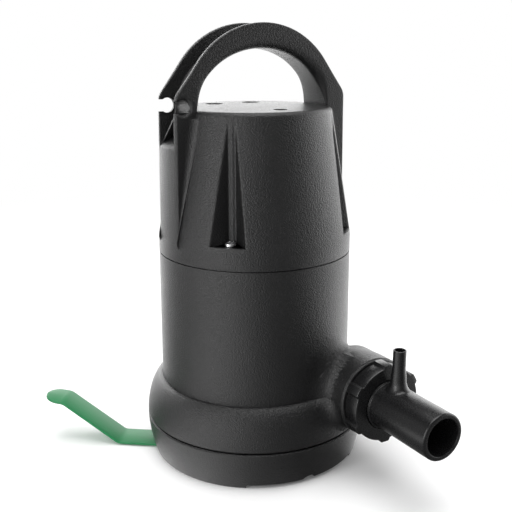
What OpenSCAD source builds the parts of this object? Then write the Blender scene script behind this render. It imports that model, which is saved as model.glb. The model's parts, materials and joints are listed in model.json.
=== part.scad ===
// Submersible aerator mixer: an upright pump with a venturi nozzle on its side outlet.
// Frame: +Z up from the floor, the pump's axis is Z, and the nozzle points along -Y.

/* [Housings] */
// Outer radius of the cylindrical housings
body_r = 75; // [73:0.5:78]
// Wall of the moulded housings
wall = 3.5; // [3:0.25:4]
// Height of the seam between the top and main housings
seam_z = 166; // [160:1:172]
// Height of the seam between the main housing and the base cover
base_seam_z = 31; // [30:0.5:32]
// Height of the swelling round the pump chamber
bulge_h = 31.5; // [30:0.5:33]
// How far that swelling stands out from the body at the base seam
bulge_out = 13.5; // [12.5:0.25:15]
// How far the skirt draws in from the base seam to the floor
skirt_in = 5; // [4:0.25:6]
// Half angle of the intake cut in the front of the skirt
intake_half_angle = 34.5; // [25:0.5:40]

/* [Top housing] */
// Height of the top housing from its seam to its rim
cap_h = 107; // [104:1:112]
// Height of its straight lower band
cap_band_h = 12.5; // [11:0.5:14]
// How far its cone draws in from the band to the rim
cap_in = 16; // [15:0.25:17]
// Rise of its domed roof
dome_h = 2.6; // [1.5:0.1:4]
// Height of the screw wells' floor above the seam
well_floor_h = 16.5; // [15.5:0.25:18]
// Radius of the rear pair of roof holes
rear_hole_r = 7.2; // [6:0.1:8]
// Radius of the front roof hole
front_hole_r = 5.2; // [4:0.1:6]

/* [Handle] */
// Width of the handle along the nozzle's direction
handle_w = 32.4; // [30:0.2:34]
// Height of the handle's top above the rim of the top housing
handle_rise = 63; // [60:0.5:66]
// How far the handle's legs stand out from the rim of the top housing
leg_out = 12.5; // [12:0.25:13]
// Thickness of the handle's side flanges
flange_t = 4; // [3:0.25:5]
// Thickness of the web that the hand grips
web_t = 4; // [3:0.25:5]
// Radius of the cord notch in the flanges
notch_r = 5.5; // [4.5:0.25:6]

/* [Outlet] */
// How far the outlet's axis lies inside the side of the body
outlet_in = 27; // [26:0.5:28]
// Height of the outlet's axis above the base seam
outlet_h = 32.5; // [32:0.5:35]
// Outer radius of the outlet neck
neck_r = 30; // [29.5:0.25:31]
// How far the neck's rim stands out from the body
neck_out = 23; // [20:0.5:29]
// Radius of the water way in the neck
outlet_bore_r = 16; // [15:0.25:17]

/* [Union nut] */
// Outer radius of the union nut between its lugs
nut_r = 28.7; // [28:0.1:29]
// How far its lugs stand out
lug_out = 2.2; // [1.5:0.1:3]
// Number of lugs
nut_lugs = 6; // [5:1:8]
// Length of the nut
nut_len = 13.5; // [13:0.5:16]

/* [Venturi nozzle] */
// Outer radius of the nozzle tube
tube_r = 17.5; // [17:0.1:18]
// Wall of that tube
tube_wall = 3.6; // [3:0.1:4]
// Length of the tube in front of the nut
tube_len = 59.2; // [54:0.2:70]
// Distance of the air nipple's axis in front of the nut
nipple_at = 11.2; // [10.6:0.2:16]
// Height of the nipple's tip above the outlet's axis
nipple_h = 47; // [42:0.5:52]
// Outer radius of the air nipple at its tip
nipple_r = 4.8; // [4.5:0.1:5.2]
// Wall of the air nipple
nipple_wall = 0.9; // [0.8:0.1:1.4]

/* [Stabiliser strap] */
// Width of the strap
strap_w = 24; // [20:0.5:26]
// Thickness of the strap
strap_t = 2; // [1.5:0.25:2.5]
// Direction that the strap leaves in, counted from the handle's right leg
strap_angle = 143.5; // [140:0.5:147]
// Rise of the strap's tip above its flat part
strap_rise = 33.5; // [28:0.5:38]
// Slope of the raised part
strap_slope_angle = 36; // [30:1:42]

/* [Motor] */
// How far the side of the sealed motor can lies inside the side of the body
can_in = 26; // [25:0.25:28]
// Height of the can above the seal plate
can_h = 143; // [125:0.5:160]
// Radial depth of the stator's winding slots
slot_depth = 14; // [10:0.25:16]
// Radius of the motor shaft at its bearings
shaft_r = 5; // [4.5:0.1:5.5]
// Outer radius of the impeller
impeller_r = 43; // [40:0.5:45]
// Number of impeller vanes
vane_count = 6; // [4:1:8]
// Radius of the run capacitor
capacitor_r = 14; // [12:0.25:14.5]
// Length of the run capacitor
capacitor_len = 58; // [50:1:62]

/* [Hidden] */

$fn = 96;
// Overrun of every cut past the face that it leaves
cut = 1;
// Clearance between fixed pieces that are fitted together
slip = 0.2;
// Clearance between faces that turn past each other
run_gap = 0.3;
// Angles of a full, a half and a quarter turn
turn = 360;
half_turn = 180;
quarter = 90;
// Steps of a computed outline
arc_steps = 24;

// Housing outlines
rim_z = seam_z + cap_h;
band_z = seam_z + cap_band_h;
cap_top_r = body_r - cap_in;
cone_slope = cap_in / (cap_h - cap_band_h);
cone_tilt = atan(cone_slope);
rim_fillet = 3.5;
body_draft = 0.7;
bulge_r = body_r + bulge_out;
foot_r = bulge_r - skirt_in;
bulge_share = 1.1;
skirt_share = 1.7;
groove_d = 0.8;
groove_h = 1;

// Screw wells of the top housing
screw_count = 4;
screw_first_angle = 45;
cap_screw_in = 9;
cap_screw_r = body_r - cap_screw_in;
well_apex_in = 2.5;
well_apex_r = cap_top_r - well_apex_in;
well_half_w = 15;
well_side_t = 2.4;
rib_r = 3.1;
rib_in = 1.6;
rib_at = cap_top_r - rib_in;
screw_boss_r = 6.6;
spigot_h = 7;
spigot_t = 2.4;
rear_hole_x = 16.5;
rear_hole_in = 24.5;
rear_hole_y = cap_top_r - rear_hole_in;
front_hole_in = 21;
front_hole_y = cap_top_r - front_hole_in;

// Handle: the outside is an arc over two straight shoulders, the grip is a half ellipse
handle_half = cap_top_r + leg_out;
handle_top_z = rim_z + handle_rise;
leg_draft = 1.2;
crown_r = 67;
crown_angle = 54;
crown_z = handle_top_z - crown_r;
shoulder_run = handle_half - crown_r * sin(crown_angle);
shoulder_z = crown_z + crown_r * cos(crown_angle) - shoulder_run * tan(crown_angle);
grip_inset = 0.5;
grip_drop = 2.7;
grip_t = 16.5;
grip_half = cap_top_r - grip_inset;
grip_z = rim_z - grip_drop;
grip_h = handle_top_z - grip_t - grip_z;
leg_foot_h = 2;
leg_foot_z = seam_z + leg_foot_h;
channel_half_w = handle_w / 2 - flange_t;
channel_at = grip_half + web_t;
channel_floor_drop = 17;
channel_floor_z = rim_z - channel_floor_drop;
ramp_h = 18;
notch_rise = 5;
notch_z = rim_z + notch_rise;
notch_slot_h = 8.8;
slant_rib_t = 1.6;
slant_high = 1;
slant_low = 22;

// Pan-head screws of the top housing
cap_screw_shank_r = 2;
cap_screw_len = 28;
pan_head_r = 4.3;
pan_head_h = 2.8;
pan_top_share = 0.6;
cross_w = 0.9;
cross_len = 4.6;
cross_d = 1.4;

// Inside of the main housing
inner_r = body_r - wall;
outlet_z = base_seam_z + outlet_h;
deck_over = 0.5;
deck_t = 4;
deck_z = outlet_z + outlet_bore_r + deck_over;
motor_z = deck_z + deck_t;
tongue_gap = 11;
tongue_r = impeller_r + tongue_gap;
volute_wall = 5;
volute_r = body_r - volute_wall;
volute_steps = 60;
tongue_angle = -50;
pillar_r = 5;
pillar_h = 34;
thread_depth_cap = 14;

// Outlet neck, its fairing and the spigot that takes the union nut
outlet_x = body_r - outlet_in;
neck_reach = body_r + neck_out;
neck_root_in = 20;
neck_root = body_r - neck_root_in;
neck_edge = 1.5;
spigot_r = 24.6;
spigot_short = 6;
spigot_len = nut_len - spigot_short;
bore_start = 10;
fairing_facets = 40;
fairing_tip_gap = 14;
fairing_root_in = 17;
fairing_root = body_r - fairing_root_in;
fairing_grow = 6;
fairing_aside = 9;
fairing_drop = 3;

// Base cover, strainer, strap and their screws
gasket_t = 1;
cover_top_z = base_seam_z - gasket_t;
cover_deck_t = 6;
cover_deck_z = cover_top_z - cover_deck_t;
skirt_t = 3;
skirt_steps = 8;
foot_cut_h = 2.75;
pry_half_angle = 3.3;
pry_aside_angle = -1.1;
pry_h = 7.2;
suction_r = 17;
suction_collar_t = 3.5;
collar_gap = 0.5;
base_screw_out = 1;
base_screw_r = body_r + base_screw_out;
base_screw_shank_r = 2;
base_screw_grip = 12;
base_screw_head_r = 4;
base_screw_head_h = 2.6;
base_screw_first_angle = 22.5;
base_boss_r = 5.5;
strainer_z = 8;
strainer_t = 2.5;
strainer_gap = 0.5;
slot_rows = 3;
slot_count = 20;
slot_w = 3;
slot_first_r = 26;
slot_pitch = 13;
slot_len = 9;
strap_lift = 1;
strap_aside = 18;
strap_out = 24.5;
strap_flat_to = foot_r + strap_out;
strap_bend_r = 9;
strap_top_len = 1.5;
strap_tip_lift = 2.2;
strap_plate_w = 40;
strap_plate_in = 37.5;
strap_plate_from = foot_r - strap_plate_in;
strap_taper = 5;
strap_slot_gap = 1;
strap_slot_h = 4.5;
strap_screw_in = 25.5;
strap_screw_at = foot_r - strap_screw_in;
strap_screw_edge = 9;
strap_screw_gap = strap_plate_w - 2 * strap_screw_edge;
strap_screw_shank_r = 1.75;
strap_screw_head_r = 3.4;
strap_screw_head_h = 0.8;
strap_boss_r = 4.6;
bend_steps = 6;

// Base gasket
gasket_w = 8;
gasket_in_r = base_screw_r - gasket_w / 2;
gasket_out_r = gasket_in_r + gasket_w;

// Union nut and nozzle, by their distance along the outlet from the neck's rim
nut_back_gap = 0.8;
nut_front_t = 2.6;
nut_back = neck_reach + nut_back_gap;
nut_front = nut_back + nut_len;
nut_bore_r = spigot_r + slip;
lug_root_half_angle = 14;
lug_tip_half_angle = 7;
seal_t = 1.6;
spigot_end = neck_reach + spigot_len;
flange_back = spigot_end + seal_t + run_gap;
flange_front = nut_front - nut_front_t - run_gap;
flange_r = spigot_r - slip;
tube_bore_r = tube_r - tube_wall;
hub_out = 1.1;
hub_r = tube_r + hub_out;
hub_proud = 1;
tube_end = nut_front + tube_len;
tube_edge = 1.4;
nipple_y = nut_front + nipple_at;
nipple_bore_r = nipple_r - nipple_wall;
nipple_draft = 0.7;
nipple_flare = 2.7;
nipple_root_r = nipple_r + nipple_draft;
nipple_flare_r = nipple_root_r + nipple_flare;
nipple_flare_h = 6;
nipple_straight = 14;
nipple_edge = 0.4;
tail_step = 0.3;
tail_gap = 1.5;
tail_from = nipple_y + nipple_flare_r + tail_gap;
jet_len = 13;
jet_body = 5;
jet_throat_r = 8;
jet_wall = 1.2;
jet_seat = 1.2;
jet_lip = 1.6;
jet_seat_r = tube_bore_r + jet_lip;

// Motor, by height above the deck of the main housing
can_r = body_r - can_in;
plate_t = 5;
plate_top_z = motor_z + plate_t;
flange_out = 7;
plate_r = can_r + flange_out;
nose_r = 21.8;
nose_h = 22;
nose_z = motor_z - nose_h;
plate_boss_r = 19;
plate_boss_h = 11;
shaft_room = 1.5;
o_ring_r = 30;
o_ring_cord_r = 1.1;
can_t = 1.5;
can_gasket_t = 1;
can_flange_t = 2;
can_flange_z = plate_top_z + can_gasket_t;
can_top_z = can_flange_z + can_h;
can_inner_r = can_r - can_t;
can_screw_out = 3.8;
can_screw_at = can_r + can_screw_out;
can_screw_count = 6;
can_screw_first_angle = 15;
can_screw_shank_r = 1.25;
can_screw_bite = 3;
can_screw_len = can_flange_t + can_gasket_t + plate_t + can_screw_bite;
can_screw_head_r = 2.3;
can_screw_head_h = 2;

// Bearings
bearing_depth = 10;
race_out_r = shaft_r + bearing_depth;
race_w = 9;
race_t = 2.5;
ball_r = 3;
ball_gap = 0.1;
ball_count = 7;
bearing_floor = 1.2;
race_mid_r = (shaft_r + race_out_r) / 2;
lower_bearing_z = plate_top_z + bearing_floor;

// Capacitor under the can's top, in its clip on the bearing bracket
clip_t = 1.2;
clip_w = 12;
clip_foot_w = 20;
capacitor_room = 2.3;
capacitor_z = can_top_z - can_t - capacitor_room - capacitor_r;

// Upper bearing bracket below the capacitor
bracket_gap = 7;
bracket_t = 4;
bracket_boss_r = 19;
bracket_roof_t = 2;
washer_t = 0.8;
bracket_top_z = capacitor_z - capacitor_r - clip_t;
upper_bearing_top_z = bracket_top_z - bracket_roof_t - washer_t;
upper_bearing_z = upper_bearing_top_z - race_w;
bracket_z = upper_bearing_z - slip;
bracket_holes = 6;
bracket_hole_r = 4;
washer_in_r = race_out_r - race_t;

// Stator from the can inwards, between the plate's boss and the bracket, and the rotor in it
core_back = 5.5;
air_gap = 0.5;
tooth_count = 12;
tooth_tip_t = 2;
coil_w = 7;
slot_mouth = 2.5;
slot_out_r = can_inner_r - core_back;
slot_in_r = slot_out_r - slot_depth;
rotor_r = slot_in_r - tooth_tip_t - air_gap;
end_turn_h = 11.25;
end_turn_edge = 3;
end_turn_gap = 0.5;
end_turn_top_z = bracket_z - bracket_gap;
stack_top_z = end_turn_top_z - end_turn_h;
stack_z = plate_top_z + plate_boss_h + end_turn_gap + end_turn_h;
stack_h = stack_top_z - stack_z;
shaft_shoulder = 1.5;
core_shaft_r = shaft_r + shaft_shoulder;
end_ring_h = 5;
end_ring_t = 6;
cutout_l = 14;
cutout_w = 8;
cutout_h = 5;
cutout_angle = 60;

// Cord gland under a roof hole, slim enough to be reached through it
gland_x = -rear_hole_x;
gland_y = rear_hole_y;
gland_angle = atan2(gland_y, gland_x);
gland_at = norm([gland_x, gland_y]);
gland_hole_gap = 0.4;
gland_nut_wall = 1.5;
gland_wall = 1.5;
gland_nut_r = rear_hole_r - gland_hole_gap;
gland_thread_r = gland_nut_r - gland_nut_wall;
gland_bore_r = gland_thread_r - gland_wall;
gland_stem_h = 4;
gland_collar_out = 2.5;
gland_collar_r = gland_thread_r + gland_collar_out;
gland_collar_h = 2;
gland_thread_h = 7;
gland_nut_h = 8;
gland_nut_gap = 0.5;
gland_lip_t = 1.5;
lock_nut_h = 2.5;
lock_nut_out = 3;
lock_nut_r = gland_thread_r + lock_nut_out;
hex_sides = 6;
wire_r = 0.9;
wire_count = 3;
wire_at = gland_bore_r - wire_r - slip;
wire_in = 6;

// Seal and impeller, by height above the base seam
impeller_gap = 6;
impeller_z = base_seam_z + impeller_gap;
shroud_t = 2.4;
vane_h = 9;
vane_t = 2.4;
vane_sweep_angle = 70;
vane_steps = 8;
vane_root_r = 11;
vane_back = 0.6;
eye_lip = 1.5;
eye_r = suction_r + eye_lip;
hub_out_r = 9;
hub_lift = 4;
hub_over = 3.4;
impeller_top_z = impeller_z + 2 * shroud_t + vane_h;
hub_z = impeller_z + hub_lift;
hub_top_z = impeller_top_z + hub_over;
stud_step = 1;
stud_r = shaft_r - stud_step;
impeller_nut_h = 3.8;
impeller_nut_r = 7;
stud_proud = 1;
key_w = 2.4;
key_h = 2.6;
key_len = 10;
key_gap = 1;
seat_recess = 2;
seat_t = 4;
seat_out = 8;
seat_r = shaft_r + seat_out;
seat_z = nose_z + seat_recess;
seat_bore_r = shaft_r + shaft_room;
seal_gap = 0.05;
head_out = 6;
head_mid_out = 4;
head_r = shaft_r + head_out;
head_mid_r = shaft_r + head_mid_out;
head_face_h = 2.5;
head_foot_h = 2;

// Points of an arc about (cx, cz), from one angle to the other
function arc(cx, cz, r, from, to, n) =
    [for (i = [0:n]) let (a = from + (to - from) * i / n) [cx + r * cos(a), cz + r * sin(a)]];

// Radius of the top housing's cone at a height
function cone_r(z) = body_r - (z - band_z) * cone_slope;

// A half outline on the +X side, closed by its mirror image
function mirrored(points) =
    concat(points, [for (i = [len(points) - 1:-1:0]) [-points[i][0], points[i][1]]]);

// Places children on the outlet's axis, with their +Z pointing out of the outlet
module at_outlet(reach) {
    translate([outlet_x, -reach, outlet_z]) rotate([quarter, 0, 0]) children();
}

module ring(outer, inner, height) {
    difference() {
        cylinder(r = outer, h = height);
        translate([0, 0, -cut]) cylinder(r = inner, h = height + 2 * cut);
    }
}

module around(count, radius, first) {
    for (i = [0:count - 1])
        rotate([0, 0, first + i * turn / count]) translate([radius, 0, 0]) children();
}

module hex_prism(r, h) {
    cylinder(r = r, h = h, $fn = hex_sides);
}

// Screw with its head's seat at the origin, its head above and its shank below
module screw(shank_r, len, head_r, head_h) {
    translate([0, 0, -len]) cylinder(r = shank_r, h = len + head_h / 2);
    cylinder(r = head_r, h = head_h * pan_top_share);
    translate([0, 0, head_h * pan_top_share])
        cylinder(r1 = head_r, r2 = head_r * pan_top_share, h = head_h * (1 - pan_top_share));
}

// Outside of the top housing, as a solid
module cap_outside() {
    fillet_z = rim_z - rim_fillet;
    fillet_at = cone_r(fillet_z) - rim_fillet / cos(cone_tilt);
    rotate_extrude() polygon(concat(
        [[0, seam_z], [body_r - groove_d, seam_z], [body_r, seam_z + groove_h], [body_r, band_z]],
        arc(fillet_at, fillet_z, rim_fillet, cone_tilt, quarter, arc_steps / 4),
        [for (i = [1:arc_steps / 4]) let (s = 1 - i * 4 / arc_steps)
            [fillet_at * s, rim_z + dome_h * (1 - s * s)]]));
}

module cap_inside() {
    rotate_extrude() polygon([[0, seam_z - cut], [inner_r, seam_z - cut], [inner_r, band_z],
        [cone_r(rim_z - wall) - wall, rim_z - wall], [0, rim_z - wall]]);
}

// Upright V that points at the axis, grown by the thickness of its side walls
module well(grow, from_z) {
    reach = body_r + cut;
    slope = well_half_w / (body_r - well_apex_r);
    apex = well_apex_r - grow / sin(atan(slope));
    half = (reach - apex) * slope;
    translate([0, 0, from_z]) linear_extrude(rim_z - from_z - rim_fillet)
        polygon([[apex, 0], [reach, -half], [reach, half]]);
}

module top_housing() color([0.09, 0.09, 0.1]) {
    difference() {
        union() {
            difference() {
                cap_outside();
                cap_inside();
            }
            intersection() {
                cap_outside();
                union() {
                    around(screw_count, 0, screw_first_angle) well(well_side_t, seam_z);
                    around(screw_count, cap_screw_r, screw_first_angle)
                        translate([0, 0, seam_z]) cylinder(r = screw_boss_r, h = well_floor_h);
                }
            }
            difference() {
                translate([0, 0, seam_z - spigot_h])
                    ring(inner_r - slip, inner_r - slip - spigot_t, spigot_h + well_floor_h / 2);
                around(screw_count, cap_screw_r, screw_first_angle)
                    translate([-pillar_r - slip, -pillar_r - slip, seam_z - spigot_h - cut])
                        cube([2 * body_r, 2 * (pillar_r + slip), spigot_h + cut]);
            }
        }
        around(screw_count, 0, screw_first_angle) difference() {
            well(0, seam_z + well_floor_h);
            translate([rib_at, 0, seam_z]) cylinder(r = rib_r, h = cap_h);
        }
        around(screw_count, cap_screw_r, screw_first_angle) translate([0, 0, seam_z - cut])
            cylinder(r = cap_screw_shank_r + slip, h = well_floor_h + 2 * cut);
        for (side = [-1, 1]) translate([side * rear_hole_x, rear_hole_y, rim_z - 2 * wall])
            cylinder(r = rear_hole_r, h = 4 * wall);
        translate([0, -front_hole_y, rim_z - 2 * wall]) cylinder(r = front_hole_r, h = 4 * wall);
    }
}

// Right half of an outline inside the handle, grown outwards from the grip
function grip_outline(grow) = [for (i = [0:arc_steps]) let (a = i * quarter / arc_steps)
    [(grip_half + grow) * cos(a), grip_z + (grip_h + grow) * sin(a)]];

module across(points, half_w) {
    rotate([quarter, 0, 0]) translate([0, 0, -half_w]) linear_extrude(2 * half_w) polygon(points);
}

// Rib over the mouth of the left leg's channel, high on the front flange and low on the rear one
module slant_rib() {
    translate([-handle_half, 0, rim_z]) rotate([quarter, 0, quarter]) linear_extrude(handle_half - channel_at)
        polygon([[-channel_half_w - cut, slant_high], [channel_half_w + cut, -slant_low],
            [channel_half_w + cut, -slant_low - slant_rib_t], [-channel_half_w - cut, slant_high - slant_rib_t]]);
}

module carry_handle() color([0.1, 0.1, 0.11]) {
    outer = handle_half + leg_draft;
    difference() {
        across(mirrored(concat([[outer, leg_foot_z], [handle_half, shoulder_z]],
            arc(0, crown_z, crown_r, quarter - crown_angle, quarter, arc_steps / 2))), handle_w / 2);
        across(mirrored(concat([[grip_half, leg_foot_z - cut]], grip_outline(0))), handle_w / 2 + cut);
        cap_outside();
        difference() {
            across([[-outer, channel_floor_z - ramp_h], [outer, channel_floor_z - ramp_h],
                [outer, handle_top_z + cut], [-outer, handle_top_z + cut]], channel_half_w);
            across(mirrored(concat([[outer + cut, channel_floor_z - ramp_h - cut],
                [outer, channel_floor_z - ramp_h], [channel_at, channel_floor_z]],
                grip_outline(web_t))), channel_half_w + cut);
            slant_rib();
        }
        for (side = [-1, 1]) translate([notch_r - handle_half, side * (handle_w - flange_t) / 2, notch_z]) {
            rotate([quarter, 0, 0]) cylinder(r = notch_r, h = flange_t + 2 * cut, center = true);
            translate([-notch_r - cut, -flange_t / 2 - cut, -notch_slot_h / 2])
                cube([notch_r + cut, flange_t + 2 * cut, notch_slot_h]);
        }
    }
}

// Outside of the main housing without its outlet, filled to the axis
module body_outside() {
    rotate_extrude() polygon(concat([[0, base_seam_z], [bulge_r - groove_d, base_seam_z]],
        [for (i = [1:arc_steps]) let (a = i * quarter / arc_steps)
            [body_r + body_draft + (bulge_out - body_draft) * pow(cos(a), bulge_share),
                base_seam_z + bulge_h * pow(sin(a), bulge_share)]],
        [[body_r, seam_z - groove_h], [body_r - groove_d, seam_z], [0, seam_z]]));
}

module neck_outside() {
    at_outlet(neck_root) cylinder(r = neck_r, h = neck_reach - neck_root - neck_edge);
    at_outlet(neck_reach - neck_edge) cylinder(r1 = neck_r, r2 = neck_r - neck_edge, h = neck_edge);
    at_outlet(neck_reach - cut) cylinder(r = spigot_r, h = spigot_len + cut);
    hull() {
        at_outlet(neck_reach - fairing_tip_gap) cylinder(r = neck_r, h = cut, $fn = fairing_facets);
        translate([-fairing_aside, 0, -fairing_drop]) at_outlet(fairing_root)
            cylinder(r = neck_r + fairing_grow, h = cut, $fn = fairing_facets);
    }
}

// Pump chamber: its radius grows from the tongue round to the outlet
module volute() {
    translate([0, 0, base_seam_z - cut]) linear_extrude(deck_z - base_seam_z + cut)
        polygon([for (i = [0:volute_steps]) let (a = tongue_angle - i * turn / volute_steps)
            (tongue_r + (volute_r - tongue_r) * i / volute_steps) * [cos(a), sin(a)]]);
}

module main_housing() color([0.08, 0.08, 0.09]) {
    difference() {
        union() {
            difference() {
                union() {
                    body_outside();
                    neck_outside();
                }
                translate([0, 0, motor_z]) cylinder(r = inner_r, h = seam_z - motor_z + cut);
                translate([0, 0, -base_seam_z]) cylinder(r = 2 * bulge_r, h = 2 * base_seam_z);
            }
            around(screw_count, cap_screw_r, screw_first_angle) translate([0, 0, seam_z - pillar_h]) {
                cylinder(r = pillar_r, h = pillar_h);
                translate([0, -pillar_r, 0])
                    cube([inner_r - cap_screw_r + wall / 2, 2 * pillar_r, pillar_h]);
            }
        }
        volute();
        translate([0, 0, deck_z - cut]) cylinder(r = nose_r + slip, h = deck_t + 2 * cut);
        at_outlet(bore_start) cylinder(r = outlet_bore_r, h = spigot_end - bore_start + cut);
        around(screw_count, cap_screw_r, screw_first_angle)
            translate([0, 0, seam_z - thread_depth_cap]) cylinder(r = cap_screw_shank_r, h = pillar_h);
        around(screw_count, base_screw_r, base_screw_first_angle)
            translate([0, 0, base_seam_z - cut]) cylinder(r = base_screw_shank_r, h = base_screw_grip + 2 * cut);
        around(can_screw_count, can_screw_at, can_screw_first_angle)
            translate([0, 0, motor_z - can_screw_bite]) cylinder(r = can_screw_shank_r, h = deck_t);
    }
}

// Sector cut into the front of the skirt from the floor up
module skirt_cut(half_angle, height) {
    rotate([0, 0, -quarter]) translate([0, 0, -cut]) linear_extrude(height + cut)
        polygon(concat([[0, 0]], arc(0, 0, 2 * foot_r, -half_angle, half_angle, bend_steps)));
}

// Frame of the strap: +X runs outwards along it
module along_strap() {
    rotate([0, 0, strap_angle]) translate([0, strap_aside, 0]) children();
}

module base_cover() color([0.08, 0.08, 0.09]) {
    collar_top = impeller_z - collar_gap;
    difference() {
        union() {
            rotate_extrude() polygon(concat([[foot_r - skirt_t, 0]],
                [for (i = [0:skirt_steps]) let (s = i / skirt_steps)
                    [bulge_r - skirt_in * pow(1 - s, skirt_share), (cover_top_z - groove_h) * s]],
                [[bulge_r - groove_d, cover_top_z], [suction_r + suction_collar_t, cover_top_z],
                    [suction_r + suction_collar_t, collar_top], [suction_r, collar_top],
                    [suction_r, cover_deck_z], [foot_r - skirt_t, cover_deck_z]]));
            around(screw_count, base_screw_r, base_screw_first_angle) translate([0, 0, strainer_z + strainer_t])
                cylinder(r = base_boss_r, h = cover_deck_z - strainer_z - strainer_t + cut);
        }
        skirt_cut(intake_half_angle, foot_cut_h);
        rotate([0, 0, pry_aside_angle]) skirt_cut(pry_half_angle, pry_h);
        along_strap() translate([strap_plate_from, -strap_plate_w / 2 - strap_slot_gap, -cut])
            cube([foot_r, strap_plate_w + 2 * strap_slot_gap, strap_slot_h + cut]);
        around(screw_count, base_screw_r, base_screw_first_angle)
            translate([0, 0, -cut]) cylinder(r = base_screw_shank_r + slip, h = base_seam_z + 2 * cut);
    }
}

module strap_screw_places() {
    along_strap() for (side = [-1, 1])
        translate([strap_screw_at, side * strap_screw_gap / 2, 0]) children();
}

module intake_strainer() color([0.13, 0.13, 0.14]) {
    boss_z = strap_lift + strap_t;
    difference() {
        union() {
            difference() {
                translate([0, 0, strainer_z])
                    cylinder(r = foot_r - skirt_t - strainer_gap, h = strainer_t);
                for (row = [0:slot_rows - 1])
                    around(slot_count, slot_first_r + row * slot_pitch, 0)
                        translate([0, -slot_w / 2, strainer_z - cut]) cube([slot_len, slot_w, strainer_t + 2 * cut]);
            }
            strap_screw_places() translate([0, 0, boss_z])
                cylinder(r = strap_boss_r, h = strainer_z - boss_z + strainer_t);
        }
        strap_screw_places() cylinder(r = strap_screw_shank_r, h = strainer_z + strainer_t + cut);
        around(screw_count, base_screw_r, base_screw_first_angle)
            cylinder(r = base_screw_shank_r + slip, h = strainer_z + strainer_t + cut);
    }
}

module union_nut() color([0.1, 0.1, 0.11]) {
    root = nut_r - nut_front_t;
    at_outlet(nut_back) difference() {
        union() {
            cylinder(r = nut_r, h = nut_len);
            around(nut_lugs, 0, quarter) linear_extrude(nut_len) polygon([
                root * [cos(lug_root_half_angle), -sin(lug_root_half_angle)],
                nut_r * [cos(lug_root_half_angle), -sin(lug_root_half_angle)],
                (nut_r + lug_out) * [cos(lug_tip_half_angle), -sin(lug_tip_half_angle)],
                (nut_r + lug_out) * [cos(lug_tip_half_angle), sin(lug_tip_half_angle)],
                nut_r * [cos(lug_root_half_angle), sin(lug_root_half_angle)],
                root * [cos(lug_root_half_angle), sin(lug_root_half_angle)]]);
        }
        translate([0, 0, -cut]) cylinder(r = nut_bore_r, h = nut_len - nut_front_t + cut);
        cylinder(r = hub_r + run_gap, h = nut_len + cut);
    }
}

module venturi_nozzle() color([0.09, 0.09, 0.1]) {
    len = tube_end - flange_back;
    straight_z = outlet_z + nipple_h - nipple_straight;
    difference() {
        union() {
            at_outlet(flange_back) cylinder(r = flange_r, h = flange_front - flange_back);
            at_outlet(flange_back) cylinder(r = hub_r, h = nut_front + hub_proud - flange_back);
            at_outlet(flange_back) cylinder(r = tube_r + tail_step, h = tail_from - flange_back);
            at_outlet(flange_back) rotate_extrude() polygon(concat([[0, 0], [tube_r, 0]],
                arc(tube_r - tube_edge, len - tube_edge, tube_edge, 0, quarter, bend_steps), [[0, len]]));
            translate([outlet_x, -nipple_y, 0]) {
                translate([0, 0, straight_z])
                    cylinder(r = nipple_r, h = nipple_straight - nipple_edge);
                translate([0, 0, outlet_z + nipple_h - nipple_edge])
                    cylinder(r1 = nipple_r, r2 = nipple_r - nipple_edge, h = nipple_edge);
                translate([0, 0, outlet_z + tube_bore_r])
                    cylinder(r1 = nipple_root_r, r2 = nipple_r, h = nipple_h - nipple_straight - tube_bore_r);
                translate([0, 0, outlet_z + tube_bore_r])
                    cylinder(r1 = nipple_flare_r, r2 = nipple_root_r, h = tube_wall + nipple_flare_h);
            }
        }
        at_outlet(flange_back - cut) cylinder(r = tube_bore_r, h = len + 2 * cut);
        at_outlet(flange_back - cut) cylinder(r = jet_seat_r + slip, h = jet_seat + slip + cut);
        translate([outlet_x, -nipple_y, outlet_z]) cylinder(r = nipple_bore_r, h = nipple_h + cut);
    }
}

module venturi_jet() color([0.75, 0.76, 0.78]) {
    body_out = tube_bore_r - slip / 2;
    at_outlet(flange_back) rotate_extrude() polygon([[body_out - jet_wall, 0], [jet_seat_r, 0],
        [jet_seat_r, jet_seat], [body_out, jet_seat], [body_out, jet_body],
        [jet_throat_r + jet_wall, jet_len], [jet_throat_r, jet_len]]);
}

module nozzle_gasket() color([0.2, 0.2, 0.2]) {
    at_outlet(spigot_end) ring(spigot_r - slip, outlet_bore_r, seal_t);
}

module cap_screws() color([0.8, 0.8, 0.82]) {
    around(screw_count, cap_screw_r, screw_first_angle) translate([0, 0, seam_z + well_floor_h]) difference() {
        screw(cap_screw_shank_r, cap_screw_len, pan_head_r, pan_head_h);
        for (a = [0, quarter]) rotate([0, 0, a]) translate([-cross_len / 2, -cross_w / 2, pan_head_h - cross_d])
            cube([cross_len, cross_w, cross_d + cut]);
    }
}

module base_screws() color([0.8, 0.8, 0.82]) {
    around(screw_count, base_screw_r, base_screw_first_angle) translate([0, 0, strainer_z])
        rotate([half_turn, 0, 0])
            screw(base_screw_shank_r, base_seam_z + base_screw_grip - strainer_z, base_screw_head_r, base_screw_head_h);
}

// Side view of the strap: flat, up a slope and level again, with round bends
function strap_path() = let (
    bend = strap_bend_r * tan(strap_slope_angle / 2),
    rise_run = strap_rise / tan(strap_slope_angle),
    a = strap_slope_angle)
    concat([[strap_plate_from, 0]],
        [for (i = [0:bend_steps]) let (t = a * i / bend_steps)
            [strap_flat_to + strap_bend_r * sin(t), strap_bend_r * (1 - cos(t))]],
        [for (i = [0:bend_steps]) let (t = a * (1 - i / bend_steps))
            [strap_flat_to + 2 * bend + rise_run - strap_bend_r * sin(t), strap_rise - strap_bend_r * (1 - cos(t))]],
        [[strap_flat_to + 2 * bend + rise_run + strap_top_len + strap_w / 2, strap_rise + strap_tip_lift]]);

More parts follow.
